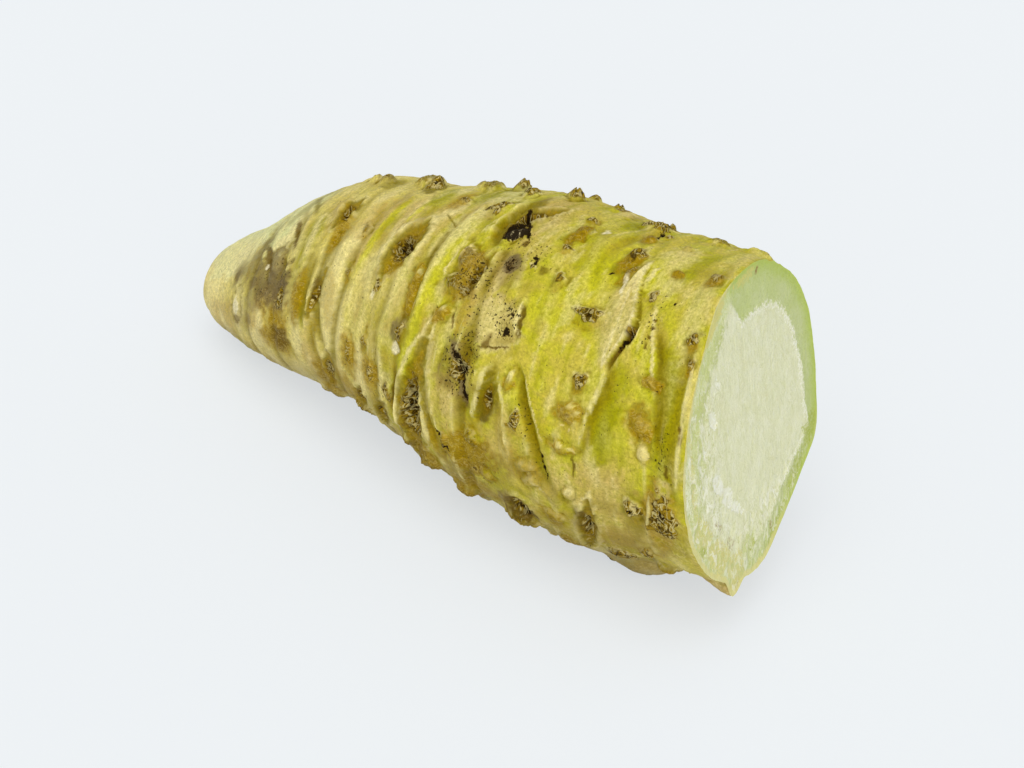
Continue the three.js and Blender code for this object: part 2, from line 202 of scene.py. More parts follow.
# --- Stubs, pits and blisters ----------------------------------------------------------
# Broken-off side shoots and rootlets leave crusted stubs; split scars leave dark pits;
# buds under the skin leave pale blisters. A row has the place, the half-length along the
# root and round it in millimetres, its height or depth, its slant in degrees, how
# crusted it is, and how golden its foot is.
STUBS = (
    (43.2, 9.5, 1.8, 1.6, 0.75, 20, 0.9, 0.3), (41.5, 35, 1.9, 1.4, 1.1, -25, 0.45, 0.2),
    (41.2, 45.5, 1.8, 1.4, 0.95, -15, 0.5, 0.3), (25.8, 30, 0.8, 1.0, 0.5, 0, 0.8, 0.3),
    (18.8, 38.5, 2.3, 1.1, 0.8, 0, 1.0, 0.3), (17.3, 9.5, 1.2, 1.7, 0.6, -20, 0.75, 0.9),
    (16.4, 18, 0.7, 1.3, 0.35, -20, 0.5, 0.7), (10.6, 26, 0.9, 1.0, 0.4, 20, 0.9, 0.2),
    (9.2, 13, 0.9, 0.5, 0.3, 0, 0.3, 0.9), (2.5, 12, 1.2, 0.8, 0.4, -15, 0.55, 0.9),
    (1.7, 38, 0.9, 0.7, 0.5, 0, 1.0, 0.7), (1.2, 46, 0.5, 0.8, 0.3, 0, 0.6, 0.9),
    (16.7, 61, 1.1, 0.9, 0.5, -20, 0.85, 0.6), (8.1, 103, 1.3, 1.4, 0.7, 0, 1.0, 0.3),
    (3.6, 102, 2.0, 3.8, 0.5, -12, 1.0, 0.5), (8.5, 128.5, 0.9, 1.2, 0.45, -10, 1.0, 0.3),
    (25.8, 82, 0.9, 1.4, 0.5, -15, 0.9, 0.4), (48.2, 71, 0.9, 1.6, 0.6, 0, 0.75, 0.5),
    (27.8, 17.5, 0.9, 0.6, 0.3, 0, 0.8, 0.4), (27.7, 7, 1.1, 1.5, 0.5, -20, 0.35, 1.0),
    (28.6, -1, 0.9, 0.6, 0.45, 0, 0.8, 0.5), (55.3, 58, 0.6, 1.0, 0.35, 0, 0.9, 0.3),
    (55.4, 82, 0.7, 0.9, 0.4, 0, 0.5, 0.6), (58.9, 93, 0.6, 1.8, 0.35, 0, 0.55, 0.5),
    (62.2, 57, 0.6, 0.9, 0.25, 0, 0.4, 0.6), (63.4, 34, 0.6, 1.0, 0.25, 20, 0.5, 0.5),
    (70.3, 25, 1.5, 1.3, 0.7, 0, 0.25, 0.3), (51.0, 6.5, 1.2, 0.7, 0.5, 0, 0.6, 0.3),
    (33.4, 97, 1.3, 1.1, 0.65, -15, 0.45, 0.4), (30.9, 30, 0.5, 0.5, 0.2, 0, 0.9, 0.1),
    (53.8, 95, 0.6, 1.2, 0.3, 0, 0.6, 0.5), (50.0, 100, 0.8, 1.6, 0.4, 20, 0.7, 0.6),
    (21.2, 118, 1.2, 1.2, 0.4, -10, 0.3, 0.6), (38.2, 104, 0.5, 1.6, 0.5, -10, 0.4, 0.3),
    # along the crown of the root, seen against the light
    (62.6, -11, 2.4, 2.0, 1.25, 0, 0.5, 0.1), (60.4, -6, 1.2, 1.2, 0.6, 0, 1.0, 0.0),
    (69.6, -3, 1.0, 1.3, 0.9, 0, 0.5, 0.0), (72.0, -5, 0.9, 1.0, 0.7, 0, 0.4, 0.0),
    (51.6, -12, 2.4, 1.8, 0.9, 0, 0.5, 0.1), (46.6, -16, 1.1, 1.4, 1.35, 0, 0.9, 0.1),
    (42.6, -8, 1.2, 1.2, 0.8, 0, 1.0, 0.1), (36.6, -17, 1.2, 1.4, 1.3, 0, 0.95, 0.2),
    (29.2, -22, 2.2, 1.6, 0.3, 0, 0.6, 0.1), (20.4, -17, 2.6, 1.8, 0.85, 0, 1.0, 0.1),
    (18.4, -4, 1.0, 0.9, 0.4, 0, 0.4, 0.9), (16.6, -10, 0.7, 0.7, 0.35, 0, 1.0, 0.2),
    (9.6, -21, 1.9, 1.6, 0.4, 0, 0.5, 0.1), (3.0, -25, 2.4, 1.7, 0.6, 0, 0.3, 0.0),
    (11.4, -4, 1.0, 0.6, 0.3, 0, 0.3, 0.3),
    # along the lower edge
    (43.8, 125, 2.0, 1.6, 0.9, 0, 0.4, 0.8), (47.6, 119, 1.4, 1.2, 0.4, 0, 0.5, 0.8),
    (38.2, 133, 2.2, 1.6, 0.9, 0, 0.3, 0.9), (28.6, 131, 2.8, 1.6, 1.0, 0, 0.4, 0.5),
    (20.6, 133, 2.2, 1.6, 0.4, 0, 0.3, 0.8), (7.5, 142, 1.5, 1.4, 0.9, 0, 0.2, 0.9),
    (67.2, 138, 2.4, 1.8, 0.6, 0, 0.3, 0.5), (58.4, 127, 1.8, 1.4, 0.6, 0, 0.5, 0.6),
    (13.2, 137, 2.4, 1.6, 0.5, 0, 0.8, 0.1),
)
PITS = (
    # place, half-length along and round, depth, slant, how black, how olive its rim
    (54.2, 38, 1.8, 2.3, 1.4, -12, 1.1, 1.0), (44.6, 99, 1.7, 5.2, 1.3, -8, 1.1, 1.0),
    (37.4, 9, 0.9, 2.6, 1.0, -42, 1.0, 0.7), (35.9, 73.5, 1.5, 2.0, 0.7, -30, 0.8, 0.3),
    (38.4, 40, 0.9, 1.8, 0.7, -8, 0.8, 0.6), (39.1, 47, 0.7, 0.7, 0.5, 0, 0.9, 0.5),
    (30.7, 79.5, 0.9, 1.2, 0.7, -10, 1.0, 0.8), (16.3, 120, 1.0, 2.7, 1.1, -14, 1.0, 0.9),
    (68.7, 28.5, 0.8, 1.4, 0.6, -12, 0.8, 0.9), (11.2, 41.6, 0.5, 0.8, 0.7, 0, 1.2, 0.3),
    (64.4, 112, 0.8, 1.8, 0.5, -10, 0.6, 0.8), (67.2, 73, 0.5, 2.0, 0.4, -10, 0.45, 0.9),
    (74.9, 80, 0.8, 2.0, 0.4, 0, 0.6, 0.6), (27.0, 124, 1.8, 1.6, 0.5, 0, 0.9, 0.6),
    (52.6, 116, 1.0, 1.6, 0.4, -20, 0.7, 0.7), (57.5, 116, 1.0, 1.4, 0.4, -20, 0.6, 0.8),
)
BLISTERS = (
    # place, half-length along and round, height, slant, how golden, how ringed
    (17.5, 72, 1.4, 1.5, 0.75, -10, 0.9, 1.0), (18.1, 85, 1.4, 0.9, 0.55, 0, 0.6, 0.8),
    (6.8, 70.5, 1.6, 1.4, 0.85, -25, 1.0, 0.5), (6.4, 56, 1.3, 0.8, 0.5, 15, 1.0, 0.2),
    (41.2, 57, 1.2, 1.3, 0.6, -15, 1.0, 0.4), (48.6, 50, 0.9, 1.9, 0.5, 0, 1.0, 1.0),
    (48.2, 58, 0.9, 2.0, 0.5, 0, 0.9, 1.0), (6.2, 79, 1.0, 1.4, 0.45, -25, 0.25, 0.5),
    (24.2, 97, 1.4, 1.1, 0.5, 10, 0.4, 0.5), (23.6, 103, 1.5, 0.9, 0.45, 20, 0.3, 0.5),
    (17.6, 103, 1.1, 0.9, 0.3, 0, 0.3, 0.5), (31.6, 112, 1.0, 1.3, 0.4, 0, 0.9, 0.2),
    (87.3, 88, 1.3, 1.7, 0.25, 0, 0.0, 0.0), (78.0, 62, 1.7, 2.6, 0.4, -8, 0.1, 0.0),
    (27.5, 70, 0.6, 2.0, 0.4, -5, 0.6, 0.9), (36.8, 19, 1.0, 1.8, 0.75, -30, 0.0, 0.0),
)

# Mounds underneath, which the root lies on: (place, size, height)
RESTS = ((15, 167, 8.5, 2.88), (34, 196, 8, 1.1), (87, 180, 6, 1.5))

# The torn point of rind at the cut's foot: place, half-length along and round, height
RIND_POINT = (0, 158, 6.5, 3.4, 2.1)

FAR_SIDE = (146, 332)      # degrees: the part of the way round where marks are scattered
FAR_MARKS = 78
FAR_SPACING = 4.2          # the least distance between two of them


def scattered_marks(seed):
    """Stubs, pits and blisters for the side that faces away, in the same style."""
    dice = random.Random(seed)
    stubs = []
    pits = []
    blisters = []
    taken = []
    while len(taken) < FAR_MARKS:
        at = dice.uniform(3, 92)
        angle = dice.uniform(*FAR_SIDE)
        reach = math.radians(1) * float(smooth(at, PLACES, RADII))
        if any(math.hypot(at - a, (angle - b) * reach) < FAR_SPACING for a, b in taken):
            continue
        taken.append((at, angle))
        size = dice.uniform(0.6, 1.6)
        shape = dice.uniform(0.7, 1.6)
        slant = dice.uniform(-25, 15)
        kind = dice.random()
        if kind < 0.55:
            stubs.append((at, angle, size, size * shape, 0.35 + 0.4 * size * dice.random(), slant,
                          dice.uniform(0.3, 1), dice.uniform(0.2, 0.9)))
        elif kind < 0.75:
            pits.append((at, angle, 0.7 * size, 1.3 * size * shape, 0.3 + 0.45 * size, slant,
                         dice.uniform(0.5, 1), dice.uniform(0.5, 1)))
        else:
            blisters.append((at, angle, size, size * shape, 0.3 + 0.2 * size, slant,
                             dice.uniform(0, 1), dice.uniform(0, 1)))
    return tuple(stubs), tuple(pits), tuple(blisters)


far_stubs, far_pits, far_blisters = scattered_marks(7)
STUBS += far_stubs
PITS += far_pits
BLISTERS += far_blisters

# --- The skin as a flat sheet ----------------------------------------------------------
# The skin starts as a sheet of squares, with x along the root and y round it. It is cut
# finer under the marks, because that is where the small shapes are.
ALONG = 196
ROUND = 288
SEAM = 205                 # degrees: where the sheet's two long edges meet, underneath
BODY_SHARE = 0.92          # the share of the sheet's length that covers the root's body
BODY_LENGTH = 96
UV_SKIN_HEIGHT = 0.72      # how much of the map's height the unrolled skin fills
NEAR_REACH = 1.3           # how far from a mark's middle the sheet is finer, its edge being 1
FAR_REACH = 1.0
THIN_BAND = 0.5            # bands narrower than this need the finer sheet
BAND_MARGIN = 0.7          # how far beside them it reaches
FLAP_AREA = (13.5, 36, 3.6, 9, 0)      # where the flap of rind is, as a mark

bpy.ops.object.select_all(action="DESELECT")
bpy.ops.mesh.primitive_grid_add(x_subdivisions=ALONG, y_subdivisions=ROUND, size=1,
                                location=(0.5, 0.5, 0))
bpy.ops.object.transform_apply(location=True)
root = bpy.context.object
root.name = root.data.name = "rhizome"


def read(items, name, width):
    """One property of all a mesh's vertices, faces or corners, as an array."""
    values = np.empty(len(items) * width)
    items.foreach_get(name, values)
    return values.reshape(-1, width)


def sheet_places(shares):
    """Distance from the cut and angle for places on the sheet."""
    tip = np.clip((shares[:, 0] - BODY_SHARE) / (1 - BODY_SHARE), 0, 1)
    at = np.minimum(shares[:, 0] / BODY_SHARE, 1) * BODY_LENGTH
    return at + (LENGTH - BODY_LENGTH) * (1 - (1 - tip) ** 2), SEAM + 360 * shares[:, 1]


def mark_places(at, angle, mark):
    """How far off a mark's middle, 1 at its edge, and how many mm along and round."""
    along = at - mark[0]
    around = np.radians(turn_from(angle, mark[1])) * float(smooth(mark[0], PLACES, RADII))
    slant = math.radians(mark[-1])
    u = along * math.cos(slant) + around * math.sin(slant)
    v = around * math.cos(slant) - along * math.sin(slant)
    return np.hypot(u / mark[2], v / mark[3]), u, v


def follow(angle, path):
    """Which places lie beside a path, what share of it is behind them, and its own place."""
    path = sorted((turn_from(a, path[0][1]) + path[0][1], p) for p, a in path)
    turns = np.array([step[0] for step in path])
    middle = (turns[0] + turns[-1]) / 2
    here = middle + turn_from(angle, middle)
    within = (here > turns[0]) & (here < turns[-1])
    share = (here - turns[0]) / (turns[-1] - turns[0])
    return within, share, smooth(np.clip(here, turns[0], turns[-1]), turns, [step[1] for step in path])


face_at, face_angle = sheet_places(read(root.data.polygons, "center", 3))
fine = np.zeros(len(face_at), bool)
for mark in STUBS + PITS + BLISTERS:
    reach = FAR_REACH if FAR_SIDE[0] < mark[1] < FAR_SIDE[1] else NEAR_REACH
    fine |= mark_places(face_at, face_angle, mark[:4] + mark[5:6])[0] < reach
for path, wide_start, wide_end, *_ in BANDS:
    if max(wide_start, wide_end) < THIN_BAND:
        within, _, middle = follow(face_angle, path)
        fine |= within & (np.abs(face_at - middle) < BAND_MARGIN)
fine |= mark_places(face_at, face_angle, FLAP_AREA)[0] < 1
bpy.ops.object.mode_set(mode="EDIT")
bpy.ops.mesh.select_mode(type="FACE")
bpy.ops.mesh.select_all(action="DESELECT")
bpy.ops.object.mode_set(mode="OBJECT")
root.data.polygons.foreach_set("select", fine)
bpy.ops.object.mode_set(mode="EDIT")
bpy.ops.mesh.subdivide(number_cuts=1)
bpy.ops.object.mode_set(mode="OBJECT")

# The unrolled skin fills the lower part of the map, and the cut lies above it as a disc.
skin_map = root.data.uv_layers.active
skin_map.name = "OFBake"
corner_vertices = read(root.data.loops, "vertex_index", 1).astype(int)[:, 0]
sheet = read(root.data.vertices, "co", 3)[corner_vertices]
skin_map.data.foreach_set("uv", np.column_stack((sheet[:, 1], UV_SKIN_HEIGHT * sheet[:, 0])).ravel())

# Every vertex remembers where it is on the root.
sheet_at, sheet_angle = sheet_places(read(root.data.vertices, "co", 3))
memory = root.data.attributes.new("place", "FLOAT_VECTOR", "POINT")
memory.data.foreach_set("vector", np.column_stack((sheet_at, sheet_angle, sheet_at * 0)).ravel())


def skin_points(at, angle, relief):
    """Where places on the skin are, in metres, with the skin raised by the relief."""
    turn = np.radians(angle)
    radius = np.maximum(smooth(at, PLACES, RADII) + relief, 0) * (at < LENGTH - 1e-5)
    y = -radius * np.sin(turn)
    z = radius * np.cos(turn)
    lean = np.clip(1 - at / LEAN_REACH, 0, 1) ** 2
    x = -at - lean * (y * math.tan(CUT_YAW) + z * math.tan(CUT_PITCH))
    rise = smooth(at, PLACES, AXIS_HEIGHTS) - AXIS_HEIGHTS[0]
    return (np.column_stack((x, y, z + rise)) + np.array(CUT_CENTRE)) * MM


# Rolled up, the sheet closes along its seam and at the tip.
root.data.vertices.foreach_set("co", skin_points(sheet_at, sheet_angle, 0).ravel())
root.data.update()
bpy.ops.object.mode_set(mode="EDIT")
bpy.ops.mesh.select_all(action="SELECT")
bpy.ops.mesh.remove_doubles(threshold=1e-7)
bpy.ops.mesh.normals_make_consistent(inside=False)

# --- The cut face ----------------------------------------------------------------------
# The knife left a flat face: pale flesh inside a green ring under the rind. It is drawn in
# from the rim ring by ring, close together at the rim and at the green ring.
CUT_SHARES = (0.992, 0.975, 0.955, 0.932, 0.908, 0.884, 0.86, 0.836, 0.812, 0.788, 0.764, 0.74,
              0.716, 0.692, 0.666, 0.64, 0.612, 0.582, 0.55, 0.515, 0.478, 0.438, 0.395, 0.35,
              0.302, 0.25, 0.195, 0.14, 0.09, 0.045)
FLESH_DISC = (0.14, 0.86, 0.132)       # its disc on the map: the middle, and how far it reaches
FLESH_REACH = 24                       # millimetres of flesh that reach as far

bpy.ops.mesh.select_mode(type="EDGE")
bpy.ops.mesh.select_all(action="DESELECT")
bpy.ops.mesh.select_non_manifold(extend=False, use_wire=False, use_boundary=True,
                                 use_multi_face=False, use_non_contiguous=False, use_verts=False)
share_before = 1
for share in CUT_SHARES:
    bpy.ops.mesh.extrude_edges_move()
    bpy.ops.transform.resize(value=(share / share_before,) * 3, center_override=CUT_CENTRE * MM)
    share_before = share
bpy.ops.mesh.merge(type="CENTER")
bpy.ops.object.mode_set(mode="OBJECT")
cut_axis = Vector(cut_mount["axis"]).normalized()
cut_right = Vector((0, 0, 1)).cross(cut_axis).normalized()
cut_up = cut_axis.cross(cut_right)

# --- The shape and colour of every mark ------------------------------------------------
# All of it is growth: ridges, furrows, stubs and pits stand on or in one skin. Each mark
# moves the skin in or out and adds to the coats, one for each colour of the rind.
place = read(root.data.attributes["place"].data, "vector", 3)
at = place[:, 0]
angle = place[:, 1]
rim = skin_points(at * 0, angle, 0)
now = read(root.data.vertices, "co", 3)
centre = np.array(CUT_CENTRE) * MM
cut_share = np.linalg.norm(now - centre, axis=1) / np.linalg.norm(rim - centre, axis=1)
at_rim = at < 1e-3
on_cut = at_rim & (cut_share < 0.997)
cut_share = np.where(on_cut, cut_share, 1)

radius = smooth(at, PLACES, RADII)
turn = np.radians(angle)
grain = np.column_stack((at, radius * np.cos(turn), radius * np.sin(turn)))
relief = np.zeros(len(at))
coats = {name: np.zeros(len(at)) for name in (
    "cream", "sage", "yellow", "green", "olive", "tan", "gold", "brown", "grey", "white", "crust",
    "black", "dots", "shaded_side")}


def mound(distance):
    """A soft mound, 1 in the middle and 0 from a distance of 1 outwards."""
    return np.clip(1 - distance**2, 0, None) ** 2


def growth(points, size, start=0.0):
    """Soft chance variation, about -1 to 1, with lumps of the given size in mm."""
    stretch = np.array(size if np.ndim(size) else (size,) * 3, float)
    return np.array([noise.noise(Vector(point)) for point in points / stretch + start])


def lay(name, amount):
    """Lay a coat on the skin, where it is thicker than what is there."""
    coats[name] = np.maximum(coats[name], np.clip(amount, 0, 1))


def lift(amount):
    """Raise the skin, by one amount or by one for each vertex."""
    relief[:] += amount


ragged = growth(grain, 1.1, 3.7)
torn = growth(grain, 0.55, 9.1)
uneven = growth(grain, (9, 5, 5), 21.3)

# Broad unevenness of the whole root, and the fine rings it grew in.
lift(0.3 * growth(grain, 8) + 0.1 * ragged + 0.05 * torn)
wrinkled = ease(30, 50, at + 6 * uneven) * ease(LENGTH, 90, at)
bend = 1.3 * growth(grain, 6, 40) + 0.5 * ragged
bent = grain + np.column_stack((bend, bend * 0, bend * 0))
folds = growth(bent, (2.1, 11, 11), 5.5)
lift(0.06 * (0.4 - np.abs(2.2 * folds)) * ease(0, 5, at))


def ridge(distance):
    """A ridge with a narrow crest, 1 at the crest and 0 from a distance of 1 outwards."""
    return np.clip(1 - np.abs(distance), 0, None) ** 1.7


# A ridge is steep beside its furrow and gentle away from it: by the furrow's side, how its
# reach changes towards the tip and towards the cut.
SLOPES = {1: (0.9, 1.9), 0: (1, 1), -1: (1.9, 0.9)}
crest_gap = np.full(len(at), 3.0)      # millimetres from the nearest crest painted pale, partly its own cream and partly painted highlight
calm = ease(48, 60, at)                # the older half is smoother
near_side = ease(140, 120, np.abs(turn_from(angle, 40)))
for number, (path, height, to_tip, to_cut, cream, side, depth) in enumerate(SCARS):
    within, share, crest = follow(angle, path)
    wander = 0.6 * growth(grain + 31 * number, 5.5) + 0.06 * torn
    slant = np.gradient([p for p, a in path], [a for p, a in path]).mean()
    off = (at - crest - wander) / np.hypot(1, np.degrees(slant) / radius)
    ends = ease(0, 0.3, share) * ease(1, 0.7, share) * within * (np.abs(off) < 12)
    swell = np.clip(0.85 + 0.9 * uneven, 0.25, 1.5)
    spread = 0.55 + 0.45 * ends
    tip_reach = spread * to_tip * SLOPES[side][0]
    cut_reach = spread * to_cut * SLOPES[side][1]
    profile = ridge(off / np.where(off > 0, tip_reach, cut_reach))
    lift((1 - (0.28 + 0.42 * calm) * near_side) * height * profile * ends * swell)
    # The crests are laid pale, partly their own cream and partly painted highlight.
    pale_crest = cream * ends * np.clip(1 + 1.6 * uneven, 0, 1) * (1 - 0.6 * calm * near_side)
    crest_gap = np.minimum(crest_gap, np.abs(off) + 0.8 * (1 - pale_crest))
    # Painted shade: a darker olive-gold coat on the furrow side, just beside each crest.
    shaded_side = off * (side or 1)
    lay("shaded_side", ease(0.0, 0.5, shaded_side) * ease(2.8, 0.8, shaded_side) * ends * np.clip(0.9 + 1.6 * uneven, 0, 1)
        * (1 - 0.7 * calm * near_side))
    # Cream over each ridge: partly its own colour, partly painted highlight.
    lay("cream", 0.45 * cream * profile * ends * (1 - 0.4 * calm * near_side))
    if side:
        furrow = off - side * ((tip_reach if side > 0 else cut_reach) + 0.1)
        lift(-0.6 * depth * mound(furrow) * ends)
        lay("olive", (1.4 * depth * mound(furrow / 1.2) + 0.25 * torn * mound(furrow)) * ends)

# The cut's rim is out of round: (angle, how far out in mm)
RIM = (
    (0, 0.8), (25, 1.4), (46, 0.1), (100, 0.9), (160, 0), (185, 0.2), (207, -0.8), (228, 0), (242, 1.9),
    (256, 0.4), (275, -0.4), (320, -0.4), (360, 0.8),
)
lift(smooth(angle % 360, [row[0] for row in RIM], [row[1] for row in RIM]) * ease(8, 0, at))

# The largest scar still has its flap of rind: (angle, low edge, free edge, height)
FLAP = (
    (8, 15.2, 14.0, 0.1), (16, 15.7, 14.0, 0.35), (24, 16.6, 13.3, 0.7), (31, 17.2, 12.3, 1.05),
    (37, 17.1, 11.5, 1.25), (42, 16.6, 11.5, 1.25), (47, 15.7, 12.4, 0.95), (52, 14.9, 13.3, 0.6),
    (58, 14.6, 13.9, 0.25),
)
FLAP_MIDDLE = 33
turns = [row[0] for row in FLAP]
here = turn_from(angle, FLAP_MIDDLE) + FLAP_MIDDLE
on_flap = ease(7, 13, here) * ease(58, 53, here)
low_edge, free_edge, flap_height = (
    smooth(np.clip(here, turns[0], turns[-1]), turns, [row[column] for row in FLAP])
    for column in (1, 2, 3))
across = (at - free_edge - 0.12 * torn) / (low_edge - free_edge)
on_plate = ease(-0.05, 0.06, across) * ease(1.7, 0.5, across + 0.3 * ragged) * on_flap
lift(flap_height * (1 - 0.75 * np.clip(across, 0, 1))
     * ease(-0.06, 0.06, across) * ease(1.1, 0.7, across) * on_flap)
lift(-0.35 * mound((at - free_edge + 0.55) / 0.5) * on_flap * ease(28, 38, here))
lay("cream", 0.6 * on_plate * (0.8 + 0.5 * ragged))
lay("tan", 0.5 * on_plate)
flap_line = at - (0.6 * free_edge + 0.4 * low_edge) - 0.3 * ragged
lay("white", 0.35 * ease(0.28, 0.08, np.abs(flap_line)) * on_flap)
lay("white", 0.4 * ease(0.3, 0.1, np.abs(at - free_edge - 0.25)) * on_flap)
# Painted shadow: black and brown just under the flap's free edge, where it overhangs the skin.
lay("black", 0.95 * mound((at - free_edge + 0.4) / 0.42) * ease(39, 42, here) * ease(51, 45, here))
lay("brown", 0.9 * mound((at - free_edge + 0.4) / 0.5) * ease(38, 44, here) * ease(58, 50, here))

for path, wide_start, wide_end, coat, strength, depth in BANDS:
    within, share, middle = follow(angle, path)
    wide = wide_start + (wide_end - wide_start) * (share if path[0][1] < path[-1][1] else 1 - share)
    off = (at - middle - 0.35 * ragged) / np.maximum(wide, 0.1)
    ends = ease(0, 0.25, share) * ease(1, 0.75, share) * within
    off = off + 0.3 * torn
    soft = 0.5 if coat in ("green", "olive", "yellow", "gold") else 0.0
    lay(coat, strength * ease(1.35 + soft, 0.65 - soft, np.abs(off)) * ends)
    lift(-depth * mound(off / 1.3) * ends)

